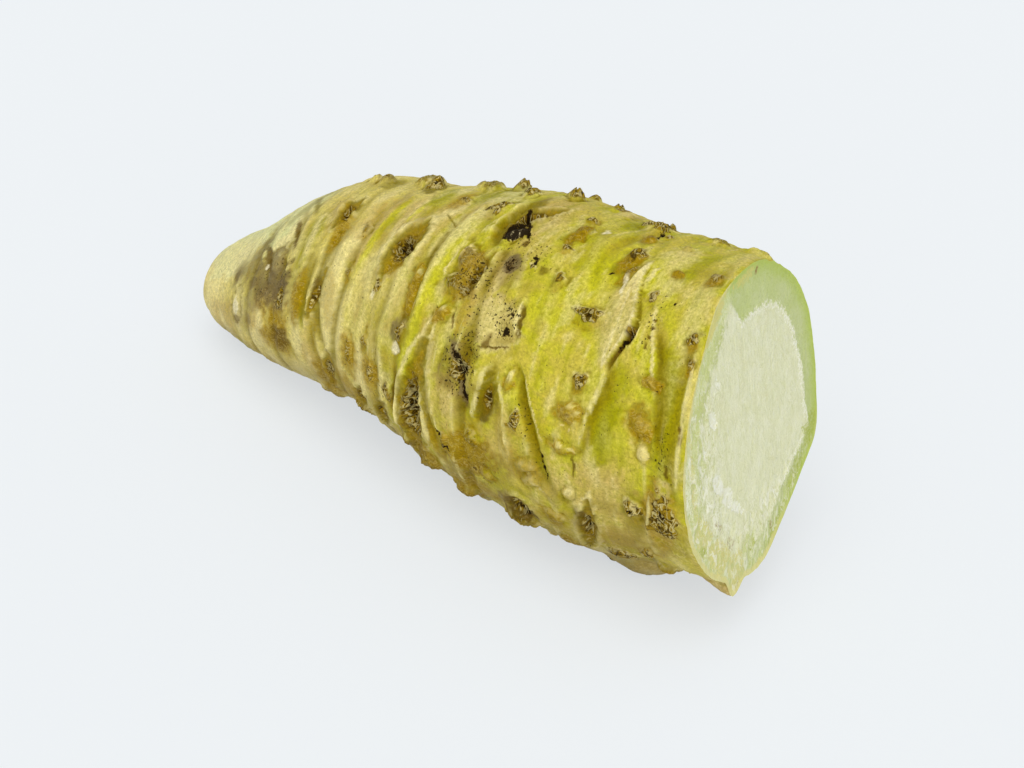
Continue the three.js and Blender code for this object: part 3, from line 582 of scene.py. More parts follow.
# Broad tones, with soft edges: (place, half-length along and round, coat, strength, slant)
TONES = (
    # the blunt old end
    (93, 14, 10, 10, "sage", 1.0, 0), (84, 16, 7, 8, "sage", 0.9, 0), (80, 36, 3.4, 6, "sage", 0.8, -12),
    (95, 44, 6, 6, "cream", 0.6, 0), (90, 48, 4, 4, "cream", 0.8, 0),
    (78.6, 55, 2.6, 4.4, "cream", 1.0, -14), (85.5, 50, 2.4, 2.6, "cream", 0.5, 0),
    (79.5, 14, 1.4, 7, "olive", 0.5, -14), (84, 50, 1.2, 4, "brown", 0.6, -22),
    (85, 62, 2.2, 4, "brown", 0.5, -14), (88.4, 65, 2.4, 3.0, "brown", 0.62, -20),
    (82, 78, 3.6, 5, "grey", 0.5, 0), (75.4, 73, 2.2, 2.6, "brown", 0.8, -10),
    (77, 74, 4.4, 4, "grey", 0.7, -10), (79, 81, 2.4, 2.4, "gold", 0.8, 0),
    (75, 78, 2.2, 4, "grey", 0.6, 0), (86, 97, 3.4, 4.5, "grey", 0.35, 0),
    (86.5, 88, 2.4, 3, "cream", 0.7, 0), (81, 100, 3, 4, "tan", 0.8, 0),
    (75.5, 98, 3.8, 5, "gold", 1.0, 0), (75, 103, 2.6, 2.6, "brown", 0.8, 0),
    (82.5, 112, 3, 2.6, "cream", 0.9, 0), (93, 112, 6, 5, "tan", 0.7, 0),
    # the tapering middle
    (72.8, 44, 2.0, 7, "green", 0.65, 0), (72, 26, 2.4, 4, "tan", 0.6, 0),
    (70.2, 74, 0.9, 8, "olive", 0.7, 0), (70.8, 80, 1.4, 4.5, "gold", 0.9, 0),
    (67.6, 42, 1.0, 3.5, "gold", 1.0, 0), (67.2, 72, 0.7, 2.4, "brown", 0.6, 0),
    (68, -3, 1.5, 3, "olive", 0.6, 0), (65.6, 62, 2.2, 9, "cream", 0.85, 4),
    (63, 86, 2.4, 6, "cream", 0.95, 0), (68.5, 108, 2.4, 5, "tan", 0.7, 0),
    (66, 122, 2.6, 4, "gold", 0.9, 0), (62, 30, 3, 7, "tan", 0.7, 0), (64.5, 22, 2, 5, "gold", 0.4, 0),
    (60, -3, 1.8, 3, "olive", 1.0, 0), (56, 4, 1.6, 4, "green", 0.8, 0),
    (60.5, 28, 0.9, 8, "yellow", 0.9, 0), (57.5, 22, 2.6, 6, "tan", 0.7, 0),
    (54.4, 38, 2.6, 5, "olive", 1.0, -12), (54, 44, 1.6, 3, "gold", 0.9, -12),
    (58, 72, 3, 12, "cream", 0.4, 0), (58, 54, 2, 5, "cream", 0.6, 0), (56, 98, 4, 4, "tan", 0.6, 0),
    (51.5, 54, 2.0, 10, "cream", 0.6, 0), (59, 96, 2, 4, "gold", 0.8, 0),
    (54, 96, 1.6, 3, "gold", 0.9, 0), (56.5, 104, 3, 4, "cream", 0.5, 0),
    (55, 116, 4, 3, "brown", 0.35, 0), (60, 118, 3, 4, "gold", 0.7, 0),
    (51.5, 18, 2.6, 5, "tan", 0.55, 0), (52, 6, 1.5, 3, "gold", 0.7, 0),
    (48.6, 56, 1.0, 3, "gold", 0.6, 0), (48, 70, 1.4, 2.4, "brown", 0.5, 0),
    (51.5, 97, 2, 4, "cream", 0.7, 0), (48, -5, 3, 4, "green", 0.8, 0),
    (46.2, 55, 1.6, 16, "yellow", 0.75, 0), (46, 4, 3, 5, "tan", 0.45, 0),
    (45.5, 84, 1.8, 3, "yellow", 0.8, 0),
    # the swollen middle
    (44.4, 101, 2.6, 6, "olive", 1.0, -6), (40, 40, 1.8, 5, "gold", 1.0, 0),
    (38.4, 40, 1.0, 3.4, "brown", 0.7, 0), (35.4, 38, 2.4, 5, "tan", 0.8, 0),
    (34.6, 33, 2.4, 3.4, "brown", 0.4, 0), (35, 6, 4, 7, "tan", 0.7, 0), (32, 20, 3, 5, "tan", 0.5, 0),
    (38.6, 10, 1.3, 6, "olive", 0.95, 0), (37, 14, 2, 5, "brown", 0.4, -30),
    (41.4, 14, 1.2, 6, "yellow", 0.8, 0), (42.5, 66, 2.4, 5, "tan", 0.5, 0),
    (36.5, 70, 3, 5, "brown", 0.55, -25), (34.5, 82, 1.6, 4, "brown", 0.5, -15),
    (38, 88, 2.4, 5, "tan", 0.7, 0), (40, 108, 3, 5, "gold", 0.6, 0),
    (34.5, 106, 4.5, 4.6, "gold", 1.0, 0), (37, 116, 4, 3, "brown", 0.5, 0),
    (30.5, 80, 2, 4.4, "olive", 0.9, -10), (31, 73, 1.6, 3, "green", 0.6, 0),
    (33, 94, 2.6, 4, "gold", 0.5, 0), (44, 122, 4, 4, "gold", 0.8, 0), (36, 124, 6, 3, "gold", 0.7, 0),
    # the thick end
    (25, 10, 2.6, 7, "green", 0.42, 0), (27.8, 8, 1.4, 4, "gold", 0.6, 0),
    (23, -14, 2, 4, "green", 0.8, 0), (20, 20, 5, 8, "yellow", 0.55, 0),
    (12.4, 18, 2, 4, "yellow", 0.9, 0), (7.2, 8, 2, 6, "green", 0.6, -20),
    (17, 13, 1.2, 2.4, "gold", 0.5, 0), (2, -8, 2, 8, "cream", 0.4, 0), (11, 6, 3, 5, "cream", 0.5, 0),
    (9, 18, 2, 3, "cream", 0.5, 0), (3, 14, 1.2, 1.6, "gold", 0.5, 0), (2.6, 64, 2.4, 9, "green", 1.0, 0),
    (1.6, 84, 2, 4, "green", 0.8, 0), (6.5, 50, 2, 4, "yellow", 0.5, 0),
    (12.6, 72, 2.6, 5.5, "green", 0.85, -6), (11, 58, 2, 3, "green", 0.6, 0),
    (7.2, 71, 2, 2.6, "gold", 0.8, 0), (16.8, 12, 1, 2, "gold", 0.9, 0),
    (17.5, 74, 3, 4, "gold", 0.35, 0), (23, 82, 3.4, 5, "gold", 0.3, 0), (25, 99, 3, 3.6, "gold", 0.5, 0),
    (28, 92, 3, 5, "tan", 0.6, 0), (22, 100, 5, 5, "tan", 0.6, 0), (13, 104, 6, 6, "tan", 0.7, 0),
    (9, 88, 3, 3, "tan", 0.35, 0), (3.8, 104, 2.8, 5.5, "gold", 0.9, 0),
    (8.4, 110, 1.8, 5, "olive", 0.6, 0), (17, 116, 1.4, 4, "brown", 0.55, -10),
    # The strong brown at 28 mm and 122 degrees, low on the thick end, is partly painted shadow.
    (22, 118, 3, 3, "gold", 0.6, 0), (28, 122, 3, 3, "brown", 0.9, 0), (12, 124, 4, 4, "gold", 0.5, 0),
    (31, 48, 2.5, 3, "tan", 0.5, 0),
    # the shaded, browner belly, and pale places between the scars
    (30, 112, 6, 5, "brown", 0.4, 0), (10, 118, 8, 4, "tan", 0.6, 0), (52, 112, 5, 3, "brown", 0.35, 0),
    (47, 30, 1.8, 8, "cream", 0.7, 0), (3, 26, 2, 12, "cream", 0.5, 0), (33, 36, 2, 3.6, "brown", 0.5, 0),
    (34, 56, 4, 4, "cream", 0.5, -10), (46, -2, 4, 6, "sage", 0.5, 0), (62, 106, 3, 4, "tan", 0.5, 0),
    (90, 98, 5, 4, "tan", 0.6, 0),
)
# The far side's tones are scattered like its marks: each coat and how strong it gets.
FAR_TONES = 90
FAR_TONE_SIDE = (138, 338)
FAR_COATS = (("cream", 0.8), ("cream", 0.6), ("gold", 0.55), ("tan", 0.6), ("olive", 0.5),
             ("green", 0.6), ("yellow", 0.6), ("brown", 0.3), ("sage", 0.4))
dice = random.Random(11)
far_tones = []
for _ in range(FAR_TONES):
    coat, strength = dice.choice(FAR_COATS)
    size = dice.uniform(1.0, 2.4)
    far_tones.append((dice.uniform(2, 99), dice.uniform(*FAR_TONE_SIDE), size, size * dice.uniform(2, 4),
                      coat, strength * dice.uniform(0.6, 1.1), dice.uniform(-20, 20)))
for tone in (*TONES, *far_tones):
    coat, strength = tone[4:6]
    off = mark_places(at, angle, tone)[0] + 0.4 * ragged + 0.5 * uneven + 0.25 * torn
    lay(coat, strength * ease(1.45, 0.45, off))

# Painted shade: the belly is laid browner, where the underside is in shade.
belly_shade_turn = np.abs(turn_from(angle, 180)) + 18 * uneven
lay("brown", 0.36 * ease(84, 54, belly_shade_turn) * ease(2, 10, at))

# Soft streaks the way the rings run, golden where they are sunk and cream where they rise, partly the rings'
# own colours and partly painted shade and highlight. On the sides turned down they are laid golder and
# browner as painted shade.
streak = growth(bent, (2.2, 7, 7), 50)
thread = growth(bent, (1.1, 5, 5), 70)
lift((-0.12 * streak - 0.08 * thread) * (1 - 0.5 * calm))
fallen = ease(84, 112, np.abs(turn_from(angle, 6)))
lay("gold", 0.4 * ease(0.12, 0.55, streak) * np.maximum(wrinkled, 0.7 * fallen) * ease(96, 88, at))
lay("brown", 0.25 * ease(0.32, 0.62, streak) * np.maximum(wrinkled, fallen) * ease(96, 88, at))
lay("cream", 0.7 * ease(0.0, -0.45, streak) * (0.35 + 0.65 * wrinkled))
lay("green", 0.5 * ease(0.1, 0.5, thread) * (1 - fallen) * ease(84, 60, at))
lay("cream", 0.45 * ease(-0.08, -0.45, thread))
lay("olive", 0.4 * ease(0.3, 0.6, uneven) * (1 - wrinkled))

# Patches of colour: (place, half-length along and round, coat, strength, raggedness, lift, slant)
PATCHES = (
    (32.6, 54, 5.0, 4.0, "cream", 0.5, 0.5, -0.2, -10), (32.6, 53, 4.6, 4.0, "tan", 0.6, 0.5, 0.0, -10),
    (37.6, 54, 1.2, 3.4, "gold", 0.6, 0.4, 0.0, 0), (34.1, 31.5, 1.5, 1.7, "grey", 1.0, 0.4, -0.15, 0),
    (34.3, 32, 0.9, 1.2, "black", 0.55, 0.8, -0.1, 20), (34.3, 22, 0.5, 0.7, "brown", 1.0, 0.4, -0.15, 0),
    (30.3, 54.5, 0.5, 0.8, "black", 1.0, 0.4, -0.15, 0),
    (30.0, 48.5, 0.35, 0.4, "black", 0.9, 0.4, -0.1, 0), (30.6, 51, 2.0, 2.8, "dots", 1.0, 0.3, 0.0, 0),
    (33.5, 53, 4.2, 4.0, "dots", 0.55, 0.5, 0.0, 0), (38, 41, 3.5, 4, "dots", 0.75, 0.5, 0.0, 0),
    (34.4, 28, 3.0, 4, "dots", 0.6, 0.5, 0.0, 0), (31, 26, 2.4, 3, "dots", 0.6, 0.5, 0.0, 0),
    (36, 70, 3.0, 5, "dots", 0.9, 0.5, 0.0, 0), (9, 36, 1.2, 5, "dots", 0.5, 0.5, 0.0, 0),
    (3.4, 78, 1.0, 3, "dots", 0.8, 0.5, 0.0, 0), (33.6, 111.5, 4, 3, "dots", 0.4, 0.5, 0.0, 0),
    (44.4, 100, 1.8, 5, "dots", 1.0, 0.4, 0.0, 0), (52, 96, 2.4, 5, "dots", 0.4, 0.5, 0.0, 0),
    (40.6, 42, 1.2, 1.8, "dots", 0.9, 0.4, 0.0, 0), (78, 68, 5, 5, "dots", 0.45, 0.5, 0.0, 0),
    (24.6, 80, 1.6, 5, "dots", 0.5, 0.5, 0.0, 0), (32.6, 60, 0.5, 1.0, "brown", 0.8, 0.6, -0.1, 0),
    (30.8, 80.5, 1.8, 3.4, "olive", 0.9, 0.4, -0.15, -10),
    (30.7, 82, 1.3, 2.8, "brown", 0.5, 0.5, 0.0, -10),
    (37.1, 18, 1.45, 2.5, "black", 0.8, 0.2, -0.25, -30),
    (36.9, 19, 0.9, 1.7, "white", 1.0, 0.15, 0.2, -30), (24.8, 2.5, 0.45, 0.6, "white", 1.0, 0.3, 0.1, 0),
    (28.9, 29.5, 0.8, 0.8, "brown", 0.7, 0.6, 0.0, 0), (31.0, 27, 0.35, 1.0, "black", 0.8, 0.5, -0.2, 30),
    (18.6, -3.5, 1.2, 0.7, "gold", 1.0, 0.4, 0.1, 0), (9.1, 13, 1.1, 0.7, "gold", 0.9, 0.4, 0.0, 0),
    (19.0, 20, 0.3, 0.3, "black", 1.0, 0.2, -0.1, 0), (6.8, 26, 0.3, 0.3, "black", 0.9, 0.2, -0.1, 0),
    (8.6, 35, 0.25, 0.3, "brown", 0.9, 0.2, 0.0, 0), (8.5, 38, 0.3, 0.35, "brown", 0.9, 0.2, 0.0, 0),
    (8.4, 41.5, 0.25, 0.3, "brown", 0.9, 0.2, 0.0, 0), (8.6, 44.5, 0.3, 0.35, "brown", 0.9, 0.2, 0.0, 0),
    (6.6, 55.7, 1.3, 0.7, "gold", 1.0, 0.3, 0.1, 0), (48.6, 78, 0.7, 1.0, "white", 0.8, 0.5, 0.15, 0),
    (49.5, 71, 0.8, 1.7, "grey", 0.7, 0.5, 0.0, 0), (33.6, 111.5, 0.3, 0.4, "black", 0.9, 0.2, -0.1, 0),
    # The brown and black at about 27 mm and 124 degrees, low on the thick end, are partly painted shadow.
    (27.2, 124, 1.8, 2.6, "brown", 0.95, 0.5, -0.1, 0), (26.8, 124, 1.0, 1.6, "black", 0.8, 0.6, -0.1, 0),
    (13.5, 138, 2.2, 2.0, "grey", 0.9, 0.4, 0.0, 0), (79, 67, 5.2, 4.4, "brown", 0.62, 0.6, -0.25, -10),
    (78.0, 62.5, 1.7, 2.4, "cream", 0.9, 0.5, 0.1, -8), (80.5, 62.5, 0.4, 0.5, "white", 1.0, 0.3, 0.1, 0),
    (87.2, 88.5, 0.8, 1.4, "white", 0.7, 0.6, 0.05, 0), (88.8, 65, 1.0, 0.9, "brown", 0.8, 0.4, -0.05, 0),
    (83.5, 97, 1.2, 1.2, "grey", 0.5, 0.5, 0.0, 0), (87.5, 100, 1.1, 0.9, "brown", 0.55, 0.5, 0.0, 0),
    (74.8, 103, 1.6, 1.7, "brown", 0.85, 0.3, -0.3, 0), (78.0, 83, 0.8, 1.0, "brown", 0.6, 0.4, -0.05, 0),
    (54.5, 38, 2.2, 3.8, "olive", 0.95, 0.3, -0.15, -12), (55.6, 62, 0.6, 0.9, "white", 0.6, 0.4, 0.1, 0),
    # The brown at 26.5 mm and 123 degrees is partly painted shadow.
    (6.1, 80, 0.9, 0.9, "cream", 0.9, 0.3, 0.1, 0), (26.5, 123, 2.4, 2.2, "brown", 0.8, 0.5, 0.0, 0),
    (21.3, 118, 0.7, 0.7, "olive", 0.9, 0.3, -0.05, 0), (31.4, 112, 0.9, 1.1, "yellow", 1.0, 0.2, 0.1, 0),
    (4.6, 104, 2.6, 4.6, "tan", 0.7, 0.5, 0.0, -12), (41.4, 35.5, 2.2, 1.8, "tan", 0.9, 0.4, 0.0, -25),
)
for patch in PATCHES:
    off = mark_places(at, angle, patch)[0]
    coat, strength, raggedness, rise = patch[4:8]
    off = off + raggedness * (0.7 * ragged + 0.45 * torn)
    lay(coat, strength * ease(1.15, 0.8, off))
    lift(rise * mound(off / 1.2) * (off < 1.2))

# Stubs: a raised collar round a torn, crusted middle, with gold and olive at its foot on one side, partly its
# own gold and partly painted shadow, and cream on the collar's other side as painted highlight.
for mark_at, mark_angle, half_long, half_wide, height, slant, crusted, golden in STUBS:
    off, u, v = mark_places(at, angle, (mark_at, mark_angle, half_long, half_wide, slant))
    near = off < 3
    arms = np.cos(3 * np.arctan2(v / half_wide, u / half_long) + 5 * mark_angle)
    edge = off * (1 + 0.18 * arms) + 0.45 * ragged + 0.32 * torn
    foot = np.hypot(u / half_long, (v - 0.7 * half_wide) / (1.5 * half_wide)) + 0.4 * ragged + 0.2 * torn
    top = ease(1.15, 0.5, edge)
    lift(height * (0.6 * mound(off / 1.45) + 0.7 * top) * near)
    lift(-height * (0.42 * ease(0.55, 0.15, edge) + 0.6 * np.abs(torn) * top) * crusted * near)
    lift(-0.15 * mound((edge - 1.5) / 0.45) * near)
    # Olive and gold at the foot on one side: partly the stub's own gold, partly painted shadow.
    lay("olive", 0.7 * golden * ease(1.7, 1.0, foot) * near)
    lay("gold", (0.1 + 0.9 * golden) * ease(1.3, 0.7, foot) * near)
    lay("crust", crusted * ease(1.2, 0.6, edge) * near)
    # Painted highlight: cream on the collar's other side.
    lay("cream", 0.8 * mound((edge - 0.95) / 0.35) * near * ease(0.35, -0.35, v / half_wide))
    lay("black", crusted * 0.62 * ease(0.5, 0.1, edge + 0.6 * torn) * near)

# Pits: the skin has split like a lens and dried black inside, with a pale, raised lip round it.
for mark_at, mark_angle, half_long, half_wide, depth, slant, blackness, olive in PITS:
    off, u, v = mark_places(at, angle, (mark_at, mark_angle, half_long, half_wide, slant))
    near = off < 4
    edge = off + 0.32 * ragged + 0.25 * torn
    lens = np.abs(u) / (1.5 * half_long) + (v / (2.5 * half_wide)) ** 2 + 0.25 * ragged + 0.1 * torn
    lift(-depth * (ease(1.0, 0.35, edge) + 0.35 * ease(1.0, 0.3, lens)) * near)
    lift(0.3 * mound((lens - 1.15) / 0.3) * near)
    lay("olive", olive * ease(1.15, 0.75, lens) * near)
    lay("gold", 0.7 * olive * ease(0.9, 0.5, lens - 0.3 * torn) * near)
    lay("cream", 0.9 * olive * mound((lens - 1.25) / 0.3) * near)
    lay("brown", 0.95 * ease(1.3, 0.7, edge) * near)
    lay("crust", 0.6 * ease(1.2, 0.8, edge) * near)
    lay("black", 0.75 * blackness * ease(1.0, 0.45, edge) * (0.6 + 0.8 * torn) * near)

# Blisters: buds that never broke the skin, smooth and ringed by a furrow, pale on one side, partly their own
# cream and partly painted highlight.
for mark_at, mark_angle, half_long, half_wide, height, slant, golden, ringed in BLISTERS:
    off, u, v = mark_places(at, angle, (mark_at, mark_angle, half_long, half_wide, slant))
    near = off < 2
    edge = off * (1 + 0.25 * np.cos(2 * np.arctan2(v, u) + 3 * mark_angle)) + 0.55 * ragged + 0.25 * torn
    lift(height * (0.75 * mound(off / 1.25) + 0.35 * mound(edge) + 0.25 * torn * mound(off)) * near)
    lift(-0.18 * mound((edge - 1.3) / 0.4) * near)
    lay("olive", 0.6 * mound((edge - 1.3) / 0.4) * near)
    lay("gold", golden * (ease(1.2, 0.95, edge) * ease(-0.9, 0.2, v / half_wide + 0.7 * ragged)
                          + ringed * mound((edge - 0.95) / 0.25)) * near)
    # Cream on the blister's other side from its gold: partly its own cream, partly painted highlight.
    lay("cream", (0.5 + 0.4 * ringed) * ease(0.95, 0.5, edge)
        * ease(0.5, -0.5, v / half_wide + 0.8 * ragged) * near)
    lay("brown", 0.6 * ringed * mound(edge / 0.3) * near)

# What the root lies on, and the torn point of rind at the foot of the cut.
for mark_at, mark_angle, size, height in RESTS:
    lift(height * mound(mark_places(at, angle, (mark_at, mark_angle, size, size, 0))[0]))
*point, height = RIND_POINT
off = mark_places(at, angle, (*point, 0))[0]
lift(height * mound(off))
lay("tan", ease(1, 0.4, off))

# Painted shade darkens the hollows in olive and brown, and painted highlight makes the proud crests cream.
# What is proud is found against the same skin smoothed over its neighbours, again and again.
SMOOTHINGS = 14
edge_ends = read(root.data.edges, "vertices", 2).astype(int)
neighbours = np.maximum(np.bincount(edge_ends.ravel(), minlength=len(at)), 1)
blurred = relief.copy()
for _ in range(SMOOTHINGS):
    total = np.bincount(edge_ends[:, 0], blurred[edge_ends[:, 1]], len(at))
    total += np.bincount(edge_ends[:, 1], blurred[edge_ends[:, 0]], len(at))
    blurred = 0.4 * blurred + 0.6 * total / neighbours
proud = relief - blurred
lay("cream", 0.75 * ease(0.08, 0.45, proud) * (0.8 + 0.5 * uneven))
lay("olive", 0.95 * ease(-0.04, -0.34, proud))
lay("brown", 0.55 * ease(-0.2, -0.6, proud) * (0.5 + 0.5 * wrinkled))

DEEPEST = -2.2
DEEPEST_AT_RIM = -1.0
HIGHEST = 4.5
TIP_FADE = 8               # the last stretch, over which the relief dies away
relief = np.clip(relief, DEEPEST, HIGHEST) * np.clip((LENGTH - at) / TIP_FADE, 0, 1)
relief = np.where(at_rim, np.maximum(relief, DEEPEST_AT_RIM), relief)

# The flesh of the cut: measured across (to +Y) and up from its middle, in mm.
points = skin_points(at, angle, relief)
rim = skin_points(at * 0, angle, relief)
flesh_points = centre + cut_share[:, None] * (rim - centre)
flesh_across = (flesh_points - centre) @ np.array(cut_right) / MM
flesh_height = (flesh_points - centre) @ np.array(cut_up) / MM
flat = np.column_stack((flesh_across, flesh_height, 0 * at))

# Tears: (across, up, half-width, half-height, slant, depth), where the knife pulled the flesh
TEARS = (
    # the long tear and the pale flesh that broke away below it
    (-11.6, -4.2, 1.2, 2.4, 38, 0.32), (-9.2, -7.0, 1.1, 2.6, 40, 0.32), (-6.6, -9.9, 0.8, 2.6, 44, 0.25),
    (-12.6, -7.8, 1.5, 2.4, 40, 0.12), (-10.2, -10.6, 1.3, 2.4, 42, 0.12),
    # shorter ones above and beside it
    (-12.5, 6.0, 0.9, 2.2, 36, 0.28), (-10.3, 10.2, 0.6, 1.6, 40, 0.18), (-15.4, 2.4, 0.6, 1.4, 24, 0.15),
    (-16.2, -1.6, 0.6, 1.6, 16, 0.15), (-1.2, 1.1, 1.4, 0.7, 0, 0.12), (-3.0, 3.6, 0.9, 0.3, 0, 0.1),
    (13.8, -1.4, 1.4, 0.9, 0, 0.1),
    # the ragged edge at the foot
    (-3.0, -12.6, 0.5, 1.5, 50, 0.14), (1.6, -13.2, 0.5, 1.7, 40, 0.15), (5.4, -13.4, 0.5, 1.8, 34, 0.15),
    (9.6, -9.4, 1.4, 0.7, 14, 0.1),
)


def flesh_distance(across, up, half_wide, half_tall, slant):
    """How far off a place on the cut, 1 at the edge of an oval round it."""
    u = flesh_across - across
    v = flesh_height - up
    sine = math.sin(math.radians(slant))
    cosine = math.cos(math.radians(slant))
    return np.hypot((u * cosine + v * sine) / half_wide, (v * cosine - u * sine) / half_tall)


tear = np.zeros(len(at))
flesh_ragged = growth(flat, (0.9, 1.6, 1), 2.2)
flesh_torn = growth(flat, (0.45, 0.9, 1), 6.2)
step_in = np.zeros(len(at))
for across, up, half_wide, half_tall, slant, depth in TEARS:
    off = flesh_distance(across, up, half_wide, half_tall, slant)
    off = off + 0.45 * flesh_ragged + 0.3 * flesh_torn
    tear = np.maximum(tear, ease(1.1, 0.75, off) * min(1, depth / 0.3))
    step_in += depth * ease(1.05, 0.8, off) * (0.7 + 0.6 * flesh_torn)

# Stains on the cut: (across, up, half-width, half-height, slant, colour, strength)
FLESH_STAINS = (
    (-17.5, -8.8, 2.4, 4.4, 30, "yellow", 0.5), (-13.5, -13.6, 2.4, 4.6, 42, "yellow", 0.6),
    (-8.6, -17.8, 3.2, 2.6, -40, "yellow", 0.5), (-17.6, -10.8, 0.6, 1.6, 50, "olive", 0.9),
    (-12.6, -9.8, 1.8, 0.8, -50, "brown", 0.34), (-9.4, -13.8, 1.0, 1.8, 40, "brown", 0.3),
    (-3.0, -17.4, 2.2, 0.6, 0, "olive", 0.5), (3.6, -17.6, 0.6, 1.0, 0, "brown", 0.5),
    (4.0, 20.4, 0.6, 0.4, 0, "brown", 0.9), (-8.6, -22.0, 2.0, 1.3, 20, "brown", 0.7),
    (-8.8, -20.6, 3.4, 1.6, 15, "yellow", 0.8), (-17.4, 2.0, 2.2, 5.0, 10, "green", 0.42),
    (-14.6, 10.6, 2.0, 4.6, -35, "green", 0.62), (-10.0, 15.4, 4.4, 2.0, 35, "green", 0.55),
    (-17.6, -5.4, 1.6, 2.6, 0, "green", 0.42), (-11, -15, 1.2, 3.0, 40, "green", 0.3),
    (-4.0, -17.0, 3.2, 1.8, 0, "green", 0.5), (18.4, -10.0, 3.4, 3.0, 30, "olive", 0.55),
    (13.0, -13.6, 5.0, 2.0, 30, "olive", 0.5), (6.0, -18.4, 5.0, 1.6, 25, "olive", 0.5),
    (-19.4, 0, 0.8, 8.0, 0, "yellow", 0.4), (-10.6, 18.4, 7.0, 1.1, 30, "yellow", 0.85),
    (0.5, 21.0, 4.5, 0.8, 0, "yellow", 0.6), (-17.4, 12.4, 0.9, 3.8, -38, "yellow", 0.7),
)
stains = {name: np.zeros(len(at)) for name in ("green", "yellow", "olive", "brown")}
for across, up, half_wide, half_tall, slant, name, strength in FLESH_STAINS:
    off = flesh_distance(across, up, half_wide, half_tall, slant) + 0.5 * flesh_ragged
    stains[name] = np.maximum(stains[name], strength * ease(1.1, 0.7, off))

# The green ring: (angle as seen from +X, from +Y towards up; inner edge in mm; how green)
RING_EDGE = (
    (-180, 18.0, 0.3), (-105, 18.0, 0.5), (-60, 15.2, 0.8), (-45, 16.5, 0.9), (-27, 19.7, 0.8),
    (-17, 17.4, 0.9), (13, 15.8, 1.0), (56, 16.2, 1.0), (79, 15.3, 1.0), (97, 15.3, 1.0),
    (104, 19.8, 0.5), (120, 18.0, 0.4), (180, 18.0, 0.3),
)
bearing = np.degrees(np.arctan2(flesh_height, flesh_across))
turns = [row[0] for row in RING_EDGE]
ring_edge, ring_green = (np.interp(bearing, turns, [row[column] for row in RING_EDGE])
                         for column in (1, 2))
ring_depth = np.hypot(flesh_across, flesh_height) - ring_edge

# Where the knife came out, at the left and the foot, the flesh is broken and drawn down.
rough_flesh = ease(-8, -14.5, flesh_across + 2.0 * flesh_ragged) * ease(15, 8, flesh_height)
drawn_flesh = ease(-9.5, -14, flesh_height + 1.2 * flesh_ragged)
rough_flesh = np.maximum(rough_flesh, 0.8 * drawn_flesh)
cut_relief = -step_in + 0.05 * flesh_ragged + 0.06 * growth(flat, (0.5, 5, 1), 8.8)
cut_relief += (0.05 + 0.2 * rough_flesh) * growth(flat, (1.5, 2.2, 1), 13.1)
cut_relief += 0.14 * mound(ring_depth / 0.8) - 0.1 * ease(0.5, 2.5, ring_depth)
cut_relief *= ease(1.0, 0.97, cut_share)
flesh_points += (cut_relief * on_cut)[:, None] * np.array(cut_axis) * MM

points = np.where(on_cut[:, None], flesh_points, points)
points[:, 2] = np.maximum(points[:, 2], 0)
root.data.vertices.foreach_set("co", points.ravel())
root.data.update()

# The cut face takes the second material and its own disc of the map.
loop_starts = read(root.data.polygons, "loop_start", 1).astype(int)[:, 0]
loop_totals = read(root.data.polygons, "loop_total", 1).astype(int)[:, 0]
corner_vertices = read(root.data.loops, "vertex_index", 1).astype(int)[:, 0]
cut_corner = at_rim[corner_vertices]
cut_faces = np.add.reduceat(cut_corner, loop_starts) == loop_totals
root.data.polygons.foreach_set("material_index", cut_faces.astype(int))
corner_face = np.repeat(np.arange(len(loop_starts)), loop_totals)
corners = read(root.data.uv_layers["OFBake"].data, "uv", 2)
disc = np.column_stack((FLESH_DISC[0] + FLESH_DISC[2] * flesh_across / FLESH_REACH,
                        FLESH_DISC[1] + FLESH_DISC[2] * flesh_height / FLESH_REACH))
on_disc = cut_faces[corner_face]
corners[on_disc] = disc[corner_vertices[on_disc]]
root.data.uv_layers["OFBake"].data.foreach_set("uv", corners.ravel())

# The materials read these, one value or one vector for every vertex.
stored = {
    "grain": grain, **coats, "crest_gap": crest_gap,
    # under: painted shade, darker and browner towards the underside; the pale dust specks use it too
    "under": ease(96, 158, np.abs(turn_from(angle, 8)) + 22 * uneven),
    "pale": ease(44, 66, at + 10 * uneven), "tip": ease(88, 97, at),
    "flat": flat, "ring": ring_depth, "ring_green": ring_green, "tear": tear,
    "rough": rough_flesh, "drawn": drawn_flesh, "share": cut_share,
    **{"flesh_" + name: amount for name, amount in stains.items()},
}
root.data.attributes.remove(root.data.attributes["place"])
for name, values in stored.items():
    kind, key = ("FLOAT_VECTOR", "vector") if values.ndim == 2 else ("FLOAT", "value")
    root.data.attributes.new(name, kind, "POINT").data.foreach_set(key, np.ravel(values))

bpy.ops.object.select_all(action="DESELECT")
root.select_set(True)
bpy.context.view_layer.objects.active = root
bpy.ops.object.shade_smooth_by_angle(angle=math.radians(60))


# --- The skin's colour -----------------------------------------------------------------
# Wasabi skin is waxy, yellow-green near the leaves and cream to tan towards the old end,
# with olive furrows, cream ridge crests and black or rusty crust wherever it was broken.
def paint(red, green, blue):
    """A colour given as it looks on a screen, 0 to 255, as the shader wants it."""
    parts = [value / 255 for value in (red, green, blue)]
    return tuple(p / 12.92 if p <= 0.04045 else ((p + 0.055) / 1.055) ** 2.4 for p in parts) + (1,)


